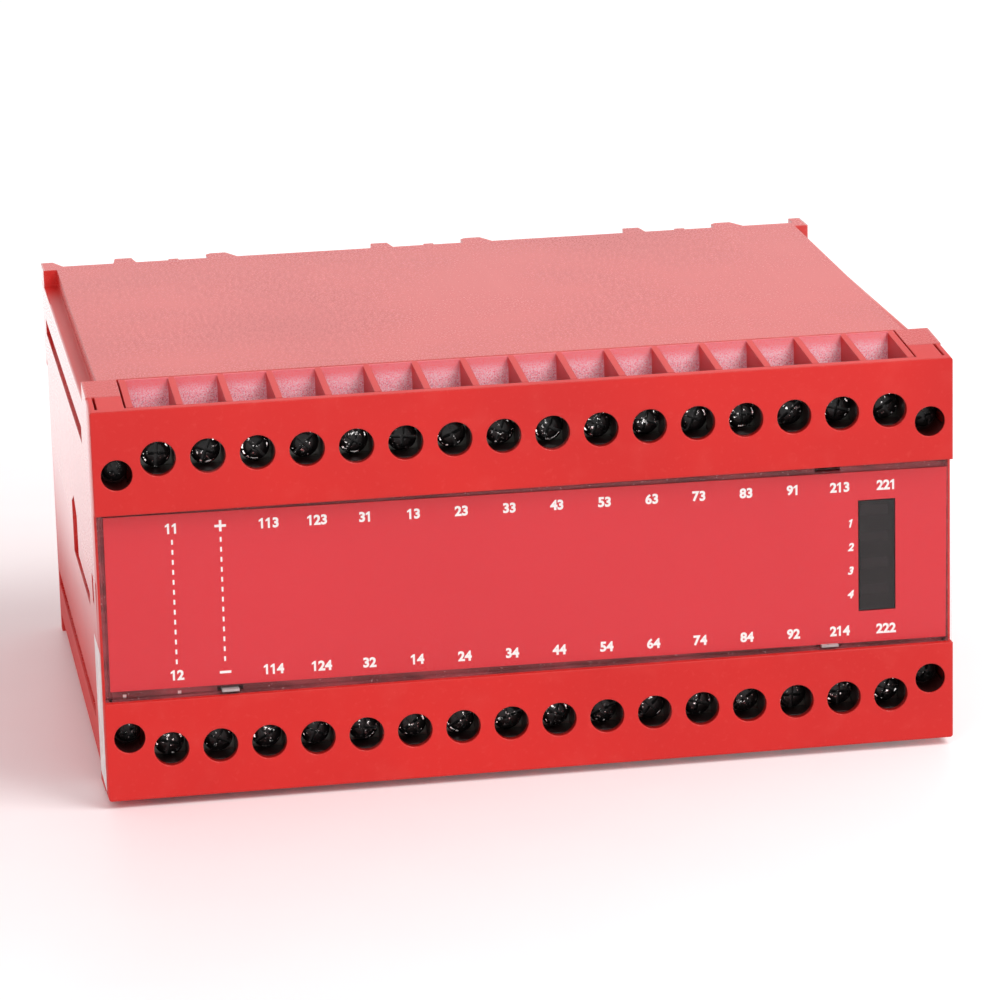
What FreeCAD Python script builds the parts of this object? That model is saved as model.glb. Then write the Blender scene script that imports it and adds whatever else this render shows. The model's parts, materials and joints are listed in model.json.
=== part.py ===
import FreeCAD, Part
import math
import os
import re

import Sketcher

Vector = FreeCAD.Vector

# Driving dimensions, millimetres. X is the width, Y the depth with the front face at -Y, Z is up.
# The relay stands on its long underside, the way it is packed; its rail channel is at +Y.
sizes = {
    # outline
    "Depth": 118, "Tall": 72, "Wall": 2, "Fit": 0.2, "Clearance": 0.3,
    # terminal rows, which set the width
    "TerminalCount": 16, "Pitch": 8.5, "FinThick": 1.2, "EndGap": 0.35, "EndWide": 6.05,
    "RowInset": 10.15, "DriverHole": 6.1, "HoleRoof": 0.4,
    # front block and the housing behind it
    "CapDepth": 8.3, "BlockDepth": 17.4, "FrontInset": 1.4, "PanelInset": 2.6, "PanelTaper": 1.8,
    "LedgeDrop": 3.3,
    "FrontWall": 1.5, "WindowWall": 8.5, "GrooveInset": 10.9, "GrooveTall": 3, "GrooveSunk": 1,
    "GrooveStart": 23, "CatchStart": 48, "CatchLong": 12, "CatchTall": 12, "CatchFoot": 2.4, "CatchSunk": 0.8,
    "CatchRise": 30.2, "NibStart": 12.4, "NibLong": 3, "NibTall": 5.2, "NibRise": 33.2,
    # front cover
    "PlateThick": 1.5, "StripTall": 17.9, "RecessDrop": 0.35, "RecessDeep": 2, "StepWall": 1.8,
    "CornerInset": 4.1, "CornerDrop": 12.6, "CornerHole": 5.4, "CornerSeatDeep": 6.2, "CornerRadius": 0.5,
    "NickStart": 5,
    "NickLong": 2.4, "NickRise": 31, "NickTall": 8, "NickSunk": 0.5,
    "SkirtThick": 1.05, "SkirtGap": 0.45, "SnapLong": 4.5, "SnapTall": 0.8,
    "SnapInset": 0.4, "SnapShift": 53,
    # clear cover, label and indicator window
    "LidThick": 1.4, "LidRim": 0.35, "LidSunk": 0.1, "LabelThick": 0.4,
    "LabelWide": 147.8, "LabelEdge": 1.2, "LabelShift": 0.3, "LabelSlope": 0.007,
    "WindowReach": 13.3, "WindowWide": 6.3, "WindowTall": 19.8, "WindowDrop": 0.5, "LensFlange": 1.1,
    "LensBack": 1, "IndicatorCount": 4, "IndicatorPitch": 4.8, "GuideWide": 3, "GuideWeb": 1.2,
    "LampTall": 3.6,
    # terminal cells, clamps, screws and contact strips
    "CellStart": 6.8, "CellDeep": 9.1, "CellDrop": 5.6, "CellWall": 2, "BlockFloor": 1.4, "BackWall": 0.8,
    "BodyShort": 0.7,
    "CageGap": 0.8, "CageSide": 0.25, "CageDeep": 8, "CageTall": 7.2, "CageDrop": 4, "CageWall": 0.7,
    "CageFront": 1.6, "HeadRadius": 2.6, "HeadStart": 4.2, "HeadThick": 2.2, "ShankRadius": 1.75,
    "ShankLong": 6.2, "SlotWide": 0.9, "SlotDeep": 1.2, "StripThick": 0.8, "StripWide": 3.4, "PinWide": 1,
    "PinReach": 24.9,
    # cover screws
    "CoverHeadRadius": 2.2, "CoverHeadThick": 1.8, "CoverShankRadius": 1.2, "CoverShankLong": 12,
    "CoverHole": 3,
    # base, rail channel and rail latches
    "FlangeThick": 3, "FootDepth": 4.2, "SpigotDeep": 3, "SpigotThick": 1.5, "ModuleCount": 3,
    "RailTall": 35.4, "RailThick": 1.4, "HookLap": 1.3, "RibStart": 13.7, "RibWide": 4.4, "RibBevel": 0.6,
    "SlimStart": 24.7, "SlimWide": 1.9, "SlimDrop": 0.65, "LatchRoom": 5.3, "BroadWide": 5.8,
    "BroadBevel": 1.9,
    "BroadNick": 1, "CornerRib": 2.3, "CornerBevel": 1.7, "LipThick": 0.6, "LipWide": 0.8,
    "LatchTravel": 2.5, "LatchSpare": 0.5, "NoseLap": 1.4, "NoseChamfer": 1.4, "NoseThick": 1.9,
    "SlideWindow": 3.2, "WindowFoot": 2.2, "WindowLong": 9.8, "PegTall": 1.8, "SpringStrip": 0.4,
    "SpringFolds": 5, "SpringDeep": 2.2, "RailLap": 0.6,
    # circuit boards and what they carry
    "BoardThick": 1.6, "BoardEdge": 0.3, "GuideDeep": 1.2, "GuideTall": 1.2, "BoardGap": 1.8,
    "BoardShort": 4.8, "PostRadius": 2.5, "PostInsetX": 9, "PostInsetY": 8.8, "LinkWide": 60, "LinkInset": 4,
    "CoreWide": 48, "CoreTall": 40, "CoreStack": 22, "CoreLeg": 8, "CoreMid": 16, "CoilOver": 7,
    "CoilGap": 0.2, "CoreStart": 6, "CoreFront": 30, "RelayWide": 16, "RelayLong": 55, "RelayTall": 33,
    "RelayGap": 5, "RelayBack": 6, "RelayEdge": 1.2, "StartWide": 13, "StartLong": 29, "StartTall": 16,
    "CapRadius": 8, "CapTall": 25, "CapInset": 9.5, "CapFront": 19, "CapPitch": 20,
    "DiscRadius": 7, "DiscThick": 5, "LeadWide": 0.8, "LeadLong": 3, "LeadPitch": 7.5, "DiscBack": 24,
    "FuseRadius": 4.2, "FuseTall": 8, "FuseBack": 12, "BridgeWide": 13, "BridgeThick": 4, "BridgeTall": 15,
    "BridgeBack": 24, "ChipLong": 20, "ChipWide": 7, "ChipTall": 3.6, "ChipPitch": 40,
}

# Places that follow from the sizes.
places = {
    "HalfWidth": "(TerminalCount * Pitch / 2 + FinThick / 2 + EndGap + EndWide)",
    "EndReach": "(TerminalCount * Pitch / 2 + FinThick / 2 + EndGap)",
    "FinReach": "(TerminalCount * Pitch / 2 + FinThick / 2)",
    "FirstTerminal": "(-(TerminalCount - 1) * Pitch / 2)",
    "Module": "(2 * HalfWidth / ModuleCount)",
    "Front": "(-Depth / 2)",
    "CapEnd": "(-Depth / 2 + CapDepth)",
    "BlockEnd": "(-Depth / 2 + BlockDepth)",
    "CavityFront": "(-Depth / 2 + BlockDepth + FrontWall)",
    "HousingEnd": "(Depth / 2 - FootDepth - FlangeThick)",
    "FlangeBack": "(Depth / 2 - FootDepth)",
    "Mid": "(Tall / 2)",
    "BlockTop": "(Tall - FrontInset)",
    "RecessMid": "(Tall / 2 - RecessDrop)",
    "RecessHalf": "(Tall / 2 - FrontInset - StripTall)",
    "LabelTall": "(2 * (RecessHalf - LabelEdge))",
    "PanelEdge": "(HalfWidth - PanelInset - PanelTaper)",
    "Row": "(Tall - RowInset)",
    "PocketFloor": "(Tall - RowInset + DriverHole / 2 + HoleRoof)",
    "CornerX": "(HalfWidth - CornerInset)",
    "CornerZ": "(Tall - CornerDrop)",
    "WindowX": "(HalfWidth - WindowReach)",
    "WindowZ": "(Tall / 2 - WindowDrop)",
    "LidBack": "(-Depth / 2 + RecessDeep)",
    "MiddlePlate": "(-Depth / 2 + RecessDeep + LidThick + LabelThick)",
    "BoardMid": "(Tall - GrooveInset)",
    "BoardTop": "(GrooveInset + BoardThick / 2)",
    "BoardUnder": "(Tall - GrooveInset - BoardThick / 2)",
    "BoardFront": "(-Depth / 2 + BlockDepth + BoardGap)",
    "BoardBack": "(Depth / 2 - FootDepth - FlangeThick - BoardShort)",
    "BoardReach": "(HalfWidth - Wall - BoardEdge)",
    "FootTop": "(Tall / 2 - RailTall / 2)",
    "LatchFoot": "(LatchTravel + LatchSpare)",
    "RelayStart": "(-(HalfWidth - PostInsetX - PostRadius - CoreStart) + CoreWide + RelayGap)",
}


def named(text):
    """Writes a size or place name as a reference to the sheet."""
    while any(word in places for word in re.findall(r"[A-Za-z]\w*", text)):
        text = re.sub(r"[A-Za-z]\w*", lambda word: places.get(word[0], word[0]), text)
    return re.sub(r"[A-Za-z]\w*", lambda word: "Sizes." + word[0] if word[0] in sizes else word[0], text)


def number(text):
    return float(sheet.evalExpression(named(text)))


doc = FreeCAD.newDocument("SafetyRelay")
sheet = doc.addObject("Spreadsheet::Sheet", "Sizes")
for line, (alias, value) in enumerate(sizes.items(), 1):
    sheet.set(f"A{line}", alias)
    sheet.set(f"B{line}", str(value))
    sheet.setAlias(f"B{line}", alias)
doc.recompute()

nodes = {}


def keep(node, thing):
    thing.Label = node
    nodes[node] = thing
    return thing


# ---- Sketches and features of the moulded pieces ----

def newBody(node):
    return keep(node, doc.addObject("PartDesign::Body", node))


def originOf(body, role):
    return next(item for item in body.Origin.OriginFeatures if item.Role == role)


def sketchOn(body, plane, place):
    """An empty sketch on one of the body's own planes, moved to a place along that plane's axis."""
    sketch = body.newObject("Sketcher::SketchObject", body.Name + "_sketch")
    sketch.AttachmentSupport = [(originOf(body, plane + "_Plane"), "")]
    sketch.MapMode = "FlatFace"
    side = "-1" if plane == "XZ" else "1"
    sketch.setExpression("AttachmentOffset.Base.z", named(f"{side} * ({place})"))
    return sketch


def pin(sketch, geometry, end, across, up):
    for kind, text in (("DistanceX", across), ("DistanceY", up)):
        rule = sketch.addConstraint(Sketcher.Constraint(kind, -1, 1, geometry, end, number(text)))
        sketch.setExpression(f"Constraints[{rule}]", named(text))


def polygon(sketch, corners):
    spots = [Vector(number(across), number(up), 0) for across, up in corners]
    count = len(corners)
    first = sketch.GeometryCount
    for index in range(count):
        sketch.addGeometry(Part.LineSegment(spots[index], spots[(index + 1) % count]), False)
    for index in range(count):
        following = first + (index + 1) % count
        sketch.addConstraint(Sketcher.Constraint("Coincident", first + index, 2, following, 1))
        pin(sketch, first + index, 1, *corners[index])


def rectangle(sketch, left, right, low, high):
    polygon(sketch, [(left, low), (right, low), (right, high), (left, high)])


def circle(sketch, across, up, radius):
    middle = Vector(number(across), number(up), 0)
    ring = sketch.addGeometry(Part.Circle(middle, Vector(0, 0, 1), number(radius)), False)
    rule = sketch.addConstraint(Sketcher.Constraint("Radius", ring, number(radius)))
    sketch.setExpression(f"Constraints[{rule}]", named(radius))
    pin(sketch, ring, 3, across, up)


def ring(sketch, across, up, radius, sides):
    """A many-sided hole, for what nobody sees."""
    angles = [2 * math.pi * (index + 0.5) / sides for index in range(sides)]
    polygon(sketch, [(f"{across} + ({radius}) * {math.cos(angle):.4f}",
                      f"{up} + ({radius}) * {math.sin(angle):.4f}") for angle in angles])


def extrude(body, kind, sketch, length, towards):
    """A Pad or Pocket of the sketch. towards is +1 or -1 along the plane's row axis, or 0 both ways."""
    feature = body.newObject("PartDesign::" + kind, f"{body.Name}_{kind}")
    feature.Profile = sketch
    feature.setExpression("Length", named(length))
    natural = 1 if kind == "Pad" else -1
    if originOf(body, "XZ_Plane") == sketch.AttachmentSupport[0][0]:
        natural = -natural
    if towards == 0:
        feature.Midplane = True
    else:
        feature.Reversed = towards != natural
    sketch.Visibility = False
    return feature


def pad(body, sketch, length, towards=1):
    return extrude(body, "Pad", sketch, length, towards)


def pocket(body, sketch, length, towards=1):
    return extrude(body, "Pocket", sketch, length, towards)


def slopeTops(body):
    """Cuts the top and the underside of the front block to their slight slope."""
    slopes = sketchOn(body, "YZ", "0 * Tall")
    polygon(slopes, [("Front", "BlockTop"), ("BlockEnd", "Tall"), ("BlockEnd", "Tall + Wall"),
                     ("Front", "Tall + Wall")])
    polygon(slopes, [("Front", "-Wall"), ("BlockEnd", "-Wall"), ("BlockEnd", "0 * Tall"),
                     ("Front", "FrontInset")])
    return pocket(body, slopes, "2 * HalfWidth + Wall", 0)


def soften(body, feature, radius, wanted):
    """Rounds the edges that the test picks."""
    doc.recompute()
    picked = [f"Edge{index}" for index, edge in enumerate(feature.Shape.Edges, 1) if wanted(edge)]
    rounding = body.newObject("PartDesign::Fillet", body.Name + "_rounding")
    rounding.Base = (feature, picked)
    rounding.setExpression("Radius", named(radius))
    body.Tip = rounding
    return rounding


def alongX(body, feature, spacing, count):
    """Repeats a feature along X."""
    pattern = body.newObject("PartDesign::LinearPattern", body.Name + "_pattern")
    pattern.Originals = [feature]
    pattern.Direction = (originOf(body, "X_Axis"), [""])
    pattern.setExpression("Length", named(f"({spacing}) * ({count} - 1)"))
    pattern.setExpression("Occurrences", named(count))
    body.Tip = pattern
    return pattern


# ---- Plain solids for bought-in parts ----

def block(name, left, right, front, back, low, high):
    solid = doc.addObject("Part::Box", name)
    spans = (("Length", "x", left, right), ("Width", "y", front, back), ("Height", "z", low, high))
    for side, axis, start, end in spans:
        solid.setExpression(side, named(f"({end}) - ({start})"))
        solid.setExpression("Placement.Base." + axis, named(start))
    return solid


def column(name, axis, radius, length, across, along, up, sides=0):
    """A cylinder, or a prism of so many sides, that starts at a point and runs along +Y or +Z."""
    solid = doc.addObject("Part::Prism" if sides else "Part::Cylinder", name)
    if sides:
        solid.Polygon = sides
    solid.setExpression("Circumradius" if sides else "Radius", named(radius))
    solid.setExpression("Height", named(length))
    if axis == "Y":
        solid.Placement.Rotation = FreeCAD.Rotation(Vector(1, 0, 0), -90)
    for letter, text in (("x", across), ("y", along), ("z", up)):
        solid.setExpression("Placement.Base." + letter, named(text))
    return solid


def fuse(name, *solids):
    whole = doc.addObject("Part::MultiFuse", name)
    whole.Shapes = list(solids)
    whole.Refine = True
    return whole


def cut(name, base, tool):
    rest = doc.addObject("Part::Cut", name)
    rest.Base = base
    rest.Tool = tool
    return rest


def repeat(node, source, shifts):
    """One node that holds a copy of the source at each shift."""
    doc.recompute()
    group = doc.addObject("Part::Feature", node)
    group.Shape = Part.makeCompound([source.Shape.translated(Vector(*shift)) for shift in shifts])
    return keep(node, group)


def mirrored(node, source):
    """The lower row is the upper row turned over about the middle of the front."""
    other = doc.addObject("Part::Mirroring", node)
    other.Source = source
    other.Normal = Vector(0, 0, 1)
    other.setExpression("Base.z", named("Mid"))
    return keep(node, other)


# ---- Housing: one moulded shell, open at the back, with the rear halves of the end blocks ----

def makeHousing():
    body = newBody("housing")
    tube = sketchOn(body, "XZ", "BlockEnd")
    inset, drop = "HalfWidth - PanelInset", "Tall - LedgeDrop"
    polygon(tube, [
        ("-HalfWidth", "LedgeDrop"), (f"-({inset})", "LedgeDrop"), (f"-({inset})", "0 * Tall"),
        (inset, "0 * Tall"), (inset, "LedgeDrop"), ("HalfWidth", "LedgeDrop"),
        ("HalfWidth", drop), (inset, drop), (inset, "Tall"),
        (f"-({inset})", "Tall"), (f"-({inset})", drop), ("-HalfWidth", drop)])
    pad(body, tube, "HousingEnd - BlockEnd")

    ends = sketchOn(body, "XZ", "CapEnd")
    rectangle(ends, "-HalfWidth", "-EndReach", "0 * Tall", "Tall")
    rectangle(ends, "EndReach", "HalfWidth", "0 * Tall", "Tall")
    pad(body, ends, "BlockEnd - CapEnd")
    slopeTops(body)

    # The right-hand ledge beside the top panel widens towards the front.
    taper = sketchOn(body, "XY", "Tall")
    polygon(taper, [("HalfWidth - PanelInset", "HousingEnd"), ("PanelEdge", "BlockEnd"),
                    ("HalfWidth + Wall", "BlockEnd"), ("HalfWidth + Wall", "HousingEnd")])
    pocket(body, taper, "LedgeDrop", -1)

    cavity = sketchOn(body, "XZ", "HousingEnd")
    wide, narrow = "HalfWidth - Wall", "PanelEdge - Wall"
    shelf, roof = "LedgeDrop + Wall", "Tall - LedgeDrop - Wall"
    polygon(cavity, [
        (f"-({wide})", shelf), (f"-({narrow})", shelf), (f"-({narrow})", "Wall"),
        (narrow, "Wall"), (narrow, shelf), (wide, shelf),
        (wide, roof), (narrow, roof), (narrow, "Tall - Wall"),
        (f"-({narrow})", "Tall - Wall"), (f"-({narrow})", roof), (f"-({wide})", roof)])
    pocket(body, cavity, "HousingEnd - CavityFront", -1)

    # The front wall is a frame round the backs of the terminal blocks.
    window = sketchOn(body, "XZ", "BlockEnd")
    rectangle(window, "-(EndReach - Wall)", "EndReach - Wall", "WindowWall", "Tall - WindowWall")
    pocket(body, window, "FrontWall", 1)

    # Each end block is hollow between its two screw posts.
    hollow = sketchOn(body, "XZ", "CavityFront")
    for near, far in (("-(HalfWidth - Wall)", "-(EndReach + FrontWall)"),
                      ("EndReach + FrontWall", "HalfWidth - Wall")):
        rectangle(hollow, near, far, "CornerDrop + CornerHole", "CornerZ - CornerHole")
    pocket(body, hollow, "CavityFront - CapEnd - Wall", -1)

    pilots = sketchOn(body, "XZ", "CapEnd")
    for side in ("-CornerX", "CornerX"):
        for level in ("CornerZ", "CornerDrop"):
            ring(pilots, side, level, "CoverShankRadius + Fit", 8)
    pocket(body, pilots, "CoverShankLong + CornerSeatDeep - CapDepth + Clearance", 1)

    # Board guides: a rib over and a rib under each board, along both side walls.
    guides = sketchOn(body, "XZ", "CavityFront + GuideDeep")
    edge, tip = "HalfWidth - Wall", "HalfWidth - Wall - GuideDeep"
    gap = "BoardThick / 2 + Fit / 2"
    for level in ("GrooveInset", "BoardMid"):
        for low, high in ((f"{level} + {gap}", f"{level} + {gap} + GuideTall"),
                          (f"{level} - ({gap}) - GuideTall", f"{level} - ({gap})")):
            rectangle(guides, f"-({edge})", f"-({tip})", low, high)
            rectangle(guides, tip, edge, low, high)
    pad(body, guides, "HousingEnd - CavityFront - SpigotDeep - GuideDeep - Wall")

    # Both side faces: two long grooves, a stepped catch recess and a short nib slot.
    for face, inward in (("-HalfWidth", 1), ("HalfWidth", -1)):
        grooves = sketchOn(body, "YZ", face)
        for level in ("GrooveInset", "BoardMid"):
            rectangle(grooves, "Front + GrooveStart", "HousingEnd + Fit",
                      f"{level} - GrooveTall / 2", f"{level} + GrooveTall / 2")
        pocket(body, grooves, "GrooveSunk", inward)
        catch = sketchOn(body, "YZ", face)
        polygon(catch, [
            ("Front + GrooveStart", "CatchRise"), ("Front + CatchStart + CatchLong", "CatchRise"),
            ("Front + CatchStart + CatchLong", "CatchRise + CatchTall - CatchFoot"),
            ("Front + CatchStart + CatchLong / 2", "CatchRise + CatchTall"),
            ("Front + CatchStart", "CatchRise + CatchTall - CatchFoot"),
            ("Front + CatchStart", "CatchRise + CatchFoot"),
            ("Front + GrooveStart", "CatchRise + CatchFoot")])
        pocket(body, catch, "CatchSunk", inward)
        nib = sketchOn(body, "YZ", face)
        rectangle(nib, "Front + NibStart", "Front + NibStart + NibLong", "NibRise", "NibRise + NibTall")
        pocket(body, nib, "CatchSunk", inward)
    return body


# ---- Front cover: both terminal strips and the recessed plate between them ----

def snapSlots(sketch):
    """The three slots where a screwdriver frees the clear cover's snaps."""
    high, low = "RecessMid + RecessHalf - SnapInset", "RecessMid - RecessHalf + SnapInset"
    for middle, bottom, top in (("SnapShift", f"{high} - SnapTall", high),
                                ("-SnapShift", low, f"{low} + SnapTall"),
                                ("SnapShift", low, f"{low} + SnapTall")):
        rectangle(sketch, f"{middle} - SnapLong / 2", f"{middle} + SnapLong / 2", bottom, top)


def makeFrontCover():
    body = newBody("front_cover")
    cap = sketchOn(body, "XZ", "Front")
    rectangle(cap, "-HalfWidth", "HalfWidth", "0 * Tall", "Tall")
    pad(body, cap, "CapDepth")
    soften(body, slopeTops(body), "CornerRadius", lambda edge: edge.BoundBox.YLength > number("Wall"))

    recess = sketchOn(body, "XZ", "Front")
    rectangle(recess, "-(HalfWidth + Wall)", "HalfWidth + Wall",
              "RecessMid - RecessHalf", "RecessMid + RecessHalf")
    pocket(body, recess, "RecessDeep", 1)

    # Behind the strips the cover is open above and below, where the wires come in.
    rows = sketchOn(body, "XZ", "CapEnd")
    rectangle(rows, "-EndReach", "EndReach", "RecessMid + RecessHalf + StepWall", "Tall")
    rectangle(rows, "-EndReach", "EndReach", "0 * Tall", "RecessMid - RecessHalf - StepWall")
    pocket(body, rows, "CapDepth - PlateThick", -1)
    behind = sketchOn(body, "XZ", "CapEnd")
    rectangle(behind, "-EndReach", "EndReach",
              "RecessMid - RecessHalf - StepWall / 2", "RecessMid + RecessHalf + StepWall / 2")
    pocket(body, behind, "CapEnd - MiddlePlate", -1)

    # A slit parts the thin side skirt from the screw posts.
    slits = sketchOn(body, "XZ", "CapEnd")
    for near, far in (("-(HalfWidth - SkirtThick)", "-(HalfWidth - SkirtThick - SkirtGap)"),
                      ("HalfWidth - SkirtThick - SkirtGap", "HalfWidth - SkirtThick")):
        rectangle(slits, near, far, "0 * Tall", "Tall")
    pocket(body, slits, "CapDepth - PlateThick", -1)

    for level in ("Row", "RowInset"):
        hole = sketchOn(body, "XZ", "Front")
        circle(hole, "FirstTerminal", level, "DriverHole / 2")
        alongX(body, pocket(body, hole, "PlateThick + Fit", 1), "Pitch", "TerminalCount")

    seats, corners = sketchOn(body, "XZ", "Front"), sketchOn(body, "XZ", "Front")
    for side in ("-CornerX", "CornerX"):
        for level in ("CornerZ", "CornerDrop"):
            circle(seats, side, level, "CornerHole / 2")
            ring(corners, side, level, "CoverHole / 2", 8)
    pocket(body, seats, "CornerSeatDeep", 1)
    pocket(body, corners, "CapDepth", 1)

    snaps = sketchOn(body, "XZ", "Front")
    snapSlots(snaps)
    pocket(body, snaps, "CapDepth", 1)

    window = sketchOn(body, "XZ", "Front")
    rectangle(window, "WindowX - WindowWide / 2 - Fit", "WindowX + WindowWide / 2 + Fit",
              "WindowZ - WindowTall / 2 - Fit", "WindowZ + WindowTall / 2 + Fit")
    pocket(body, window, "RecessDeep + LidThick + LabelThick + Fit", 1)

    # A three-cornered nick in each side, where the housing's catch shows.
    for face, inward in (("-HalfWidth", 1), ("HalfWidth", -1)):
        nick = sketchOn(body, "YZ", face)
        top, back = "NickRise + NickTall", "Front + NickStart + NickLong"
        polygon(nick, [("Front + NickStart", top), (back, "NickRise"), (back, top)])
        pocket(body, nick, "NickSunk", inward)
    return body


# ---- Clear cover over the label, label, indicator window and light guide ----

def makeClearCover():
    body = newBody("clear_cover")
    plate = sketchOn(body, "XZ", "Front + LidSunk")
    rectangle(plate, "-(HalfWidth - Fit)", "HalfWidth - Fit",
              "RecessMid - RecessHalf + Fit", "RecessMid + RecessHalf - Fit")
    pad(body, plate, "RecessDeep - LidSunk")
    seat = sketchOn(body, "XZ", "LidBack")
    rectangle(seat, "-(HalfWidth - LidRim - Fit)", "HalfWidth - LidRim - Fit",
              "RecessMid - RecessHalf + LidRim + Fit", "RecessMid + RecessHalf - LidRim - Fit")
    pocket(body, seat, "RecessDeep - LidSunk - LidThick", -1)
    snaps = sketchOn(body, "XZ", "Front")
    snapSlots(snaps)
    pocket(body, snaps, "RecessDeep", 1)
    return body


def makeLabel():
    body = newBody("label_plate")
    plate = sketchOn(body, "XZ", "LidBack")
    # It is stuck on slightly askew, lower towards the right.
    polygon(plate, [(f"LabelShift + {side} * LabelWide / 2 + {rise} * LabelTall / 2 * LabelSlope",
                     f"RecessMid + {rise} * LabelTall / 2 - {side} * LabelWide / 2 * LabelSlope")
                    for side, rise in ((-1, -1), (1, -1), (1, 1), (-1, 1))])
    pad(body, plate, "LabelThick", -1)
    window = sketchOn(body, "XZ", "LidBack")
    rectangle(window, "WindowX - WindowWide / 2 - Fit", "WindowX + WindowWide / 2 + Fit",
              "WindowZ - WindowTall / 2 - Fit", "WindowZ + WindowTall / 2 + Fit")
    pocket(body, window, "LabelThick", -1)
    return body


def makeWindow():
    body = newBody("indicator_window")
    lens = sketchOn(body, "XZ", "MiddlePlate")
    rectangle(lens, "WindowX - WindowWide / 2", "WindowX + WindowWide / 2",
              "WindowZ - WindowTall / 2", "WindowZ + WindowTall / 2")
    pad(body, lens, "MiddlePlate - LidBack + LabelThick", -1)
    flange = sketchOn(body, "XZ", "MiddlePlate")
    rectangle(flange, "WindowX - WindowWide / 2 - LensFlange", "WindowX + WindowWide / 2 + LensFlange",
              "WindowZ - WindowTall / 2 - LensFlange", "WindowZ + WindowTall / 2 + LensFlange")
    pad(body, flange, "LensBack", 1)
    return body


def lampLevel(index):
    return f"WindowZ + ({index} - (IndicatorCount - 1) / 2) * IndicatorPitch"


def makeLightGuide():
    body = newBody("light_guide")
    web = sketchOn(body, "XZ", "MiddlePlate + LensBack")
    rectangle(web, "WindowX - WindowWide / 2", "WindowX + WindowWide / 2",
              "WindowZ - WindowTall / 2", "WindowZ + WindowTall / 2")
    pad(body, web, "GuideWeb", 1)
    rods = sketchOn(body, "XZ", "MiddlePlate + LensBack + GuideWeb / 2")
    for index in range(sizes["IndicatorCount"]):
        level = lampLevel(index)
        rectangle(rods, "WindowX - GuideWide / 2", "WindowX + GuideWide / 2",
                  f"{level} - GuideWide / 2", f"{level} + GuideWide / 2")
    pad(body, rods, "BoardFront - LampTall - Fit - MiddlePlate - LensBack - GuideWeb / 2", 1)
    return body


def makeLamps():
    first = lampLevel(0)
    lamp = block("lamp", "WindowX - GuideWide / 2", "WindowX + GuideWide / 2",
                 "BoardFront - LampTall", "BoardFront",
                 f"{first} - GuideWide / 2", f"{first} + GuideWide / 2")
    step = number("IndicatorPitch")
    repeat("indicator_leds", lamp, [(0, 0, index * step) for index in range(sizes["IndicatorCount"])])


# ---- Terminal rows ----

def makeTerminalBlock():
    """An insulating comb: a fin each side of every pocket, a scooped back and a cell for every clamp."""
    body = newBody("upper_terminal_block")
    section = sketchOn(body, "YZ", "0 * Tall")
    front, back = "Front + PlateThick + Fit", "BlockEnd - Fit"
    low = "Row - CellDrop - BlockFloor"

    def top(place):
        return f"BlockTop + ({place} - Front) * FrontInset / BlockDepth"

    polygon(section, [(front, low), (back, low), (back, top(back)), (front, top(front))])
    pad(body, section, "2 * FinReach", 0)

    # The end fins overhang the body, to clear the heads of the cover screws.
    for face, inward in (("-FinReach", 1), ("FinReach", -1)):
        relief = sketchOn(body, "YZ", face)
        rectangle(relief, f"{front} - Fit", "CapEnd + Fit", f"{low} - Fit", "PocketFloor")
        pocket(body, relief, "BodyShort", inward)

    # Pocket between two fins, open above.
    bay = sketchOn(body, "YZ", "FirstTerminal")
    rectangle(bay, f"{front} - Fit", f"{back} - BackWall", "PocketFloor", "Tall")
    alongX(body, pocket(body, bay, "Pitch - FinThick", 0), "Pitch", "TerminalCount")

    cell = sketchOn(body, "YZ", "FirstTerminal")
    rectangle(cell, "Front + CellStart", "Front + CellStart + CellDeep",
              "Row - CellDrop", "PocketFloor + Wall")
    alongX(body, pocket(body, cell, "Pitch - CellWall", 0), "Pitch", "TerminalCount")

    driver = sketchOn(body, "XZ", front)
    reach = "(HeadRadius + Clearance)"
    rectangle(driver, f"FirstTerminal - {reach}", f"FirstTerminal + {reach}",
              f"Row - {reach}", f"Row + {reach}")
    alongX(body, pocket(body, driver, f"Front + CellStart + Fit - ({front})", 1), "Pitch", "TerminalCount")

    passage = sketchOn(body, "YZ", "FirstTerminal")
    rectangle(passage, "Front + CellStart + CellDeep - Fit", f"{back} + Fit",
              "Row - CellDrop", "Row - CellDrop + StripThick + Clearance")
    alongX(body, pocket(body, passage, "StripWide + Clearance", 0), "Pitch", "TerminalCount")
    return body


def terminalShifts():
    step = number("Pitch")
    return [(index * step, 0, 0) for index in range(sizes["TerminalCount"])]


def makeClamps():
    """Box clamps: the wire comes down through the cage and the screw drives it against the strip."""
    half = "(Pitch - CellWall) / 2 - CageSide"
    start = "Front + CellStart + CageGap"
    cage = block("cage_outer", f"FirstTerminal - ({half})", f"FirstTerminal + {half}",
                 start, f"{start} + CageDeep", "Row - CageDrop", "Row - CageDrop + CageTall")
    bore = block("cage_bore", f"FirstTerminal - ({half}) + CageWall", f"FirstTerminal + {half} - CageWall",
                 f"{start} + CageFront", f"{start} + CageDeep - CageWall",
                 "Row - CageDrop - Wall", "Row - CageDrop + CageTall + Wall")
    thread = column("cage_thread", "Y", "ShankRadius + Fit", "CageFront + Wall",
                    "FirstTerminal", f"{start} - Wall / 2", "Row", 6)
    repeat("upper_clamps", cut("cage", cage, fuse("cage_tools", bore, thread)), terminalShifts())


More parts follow.
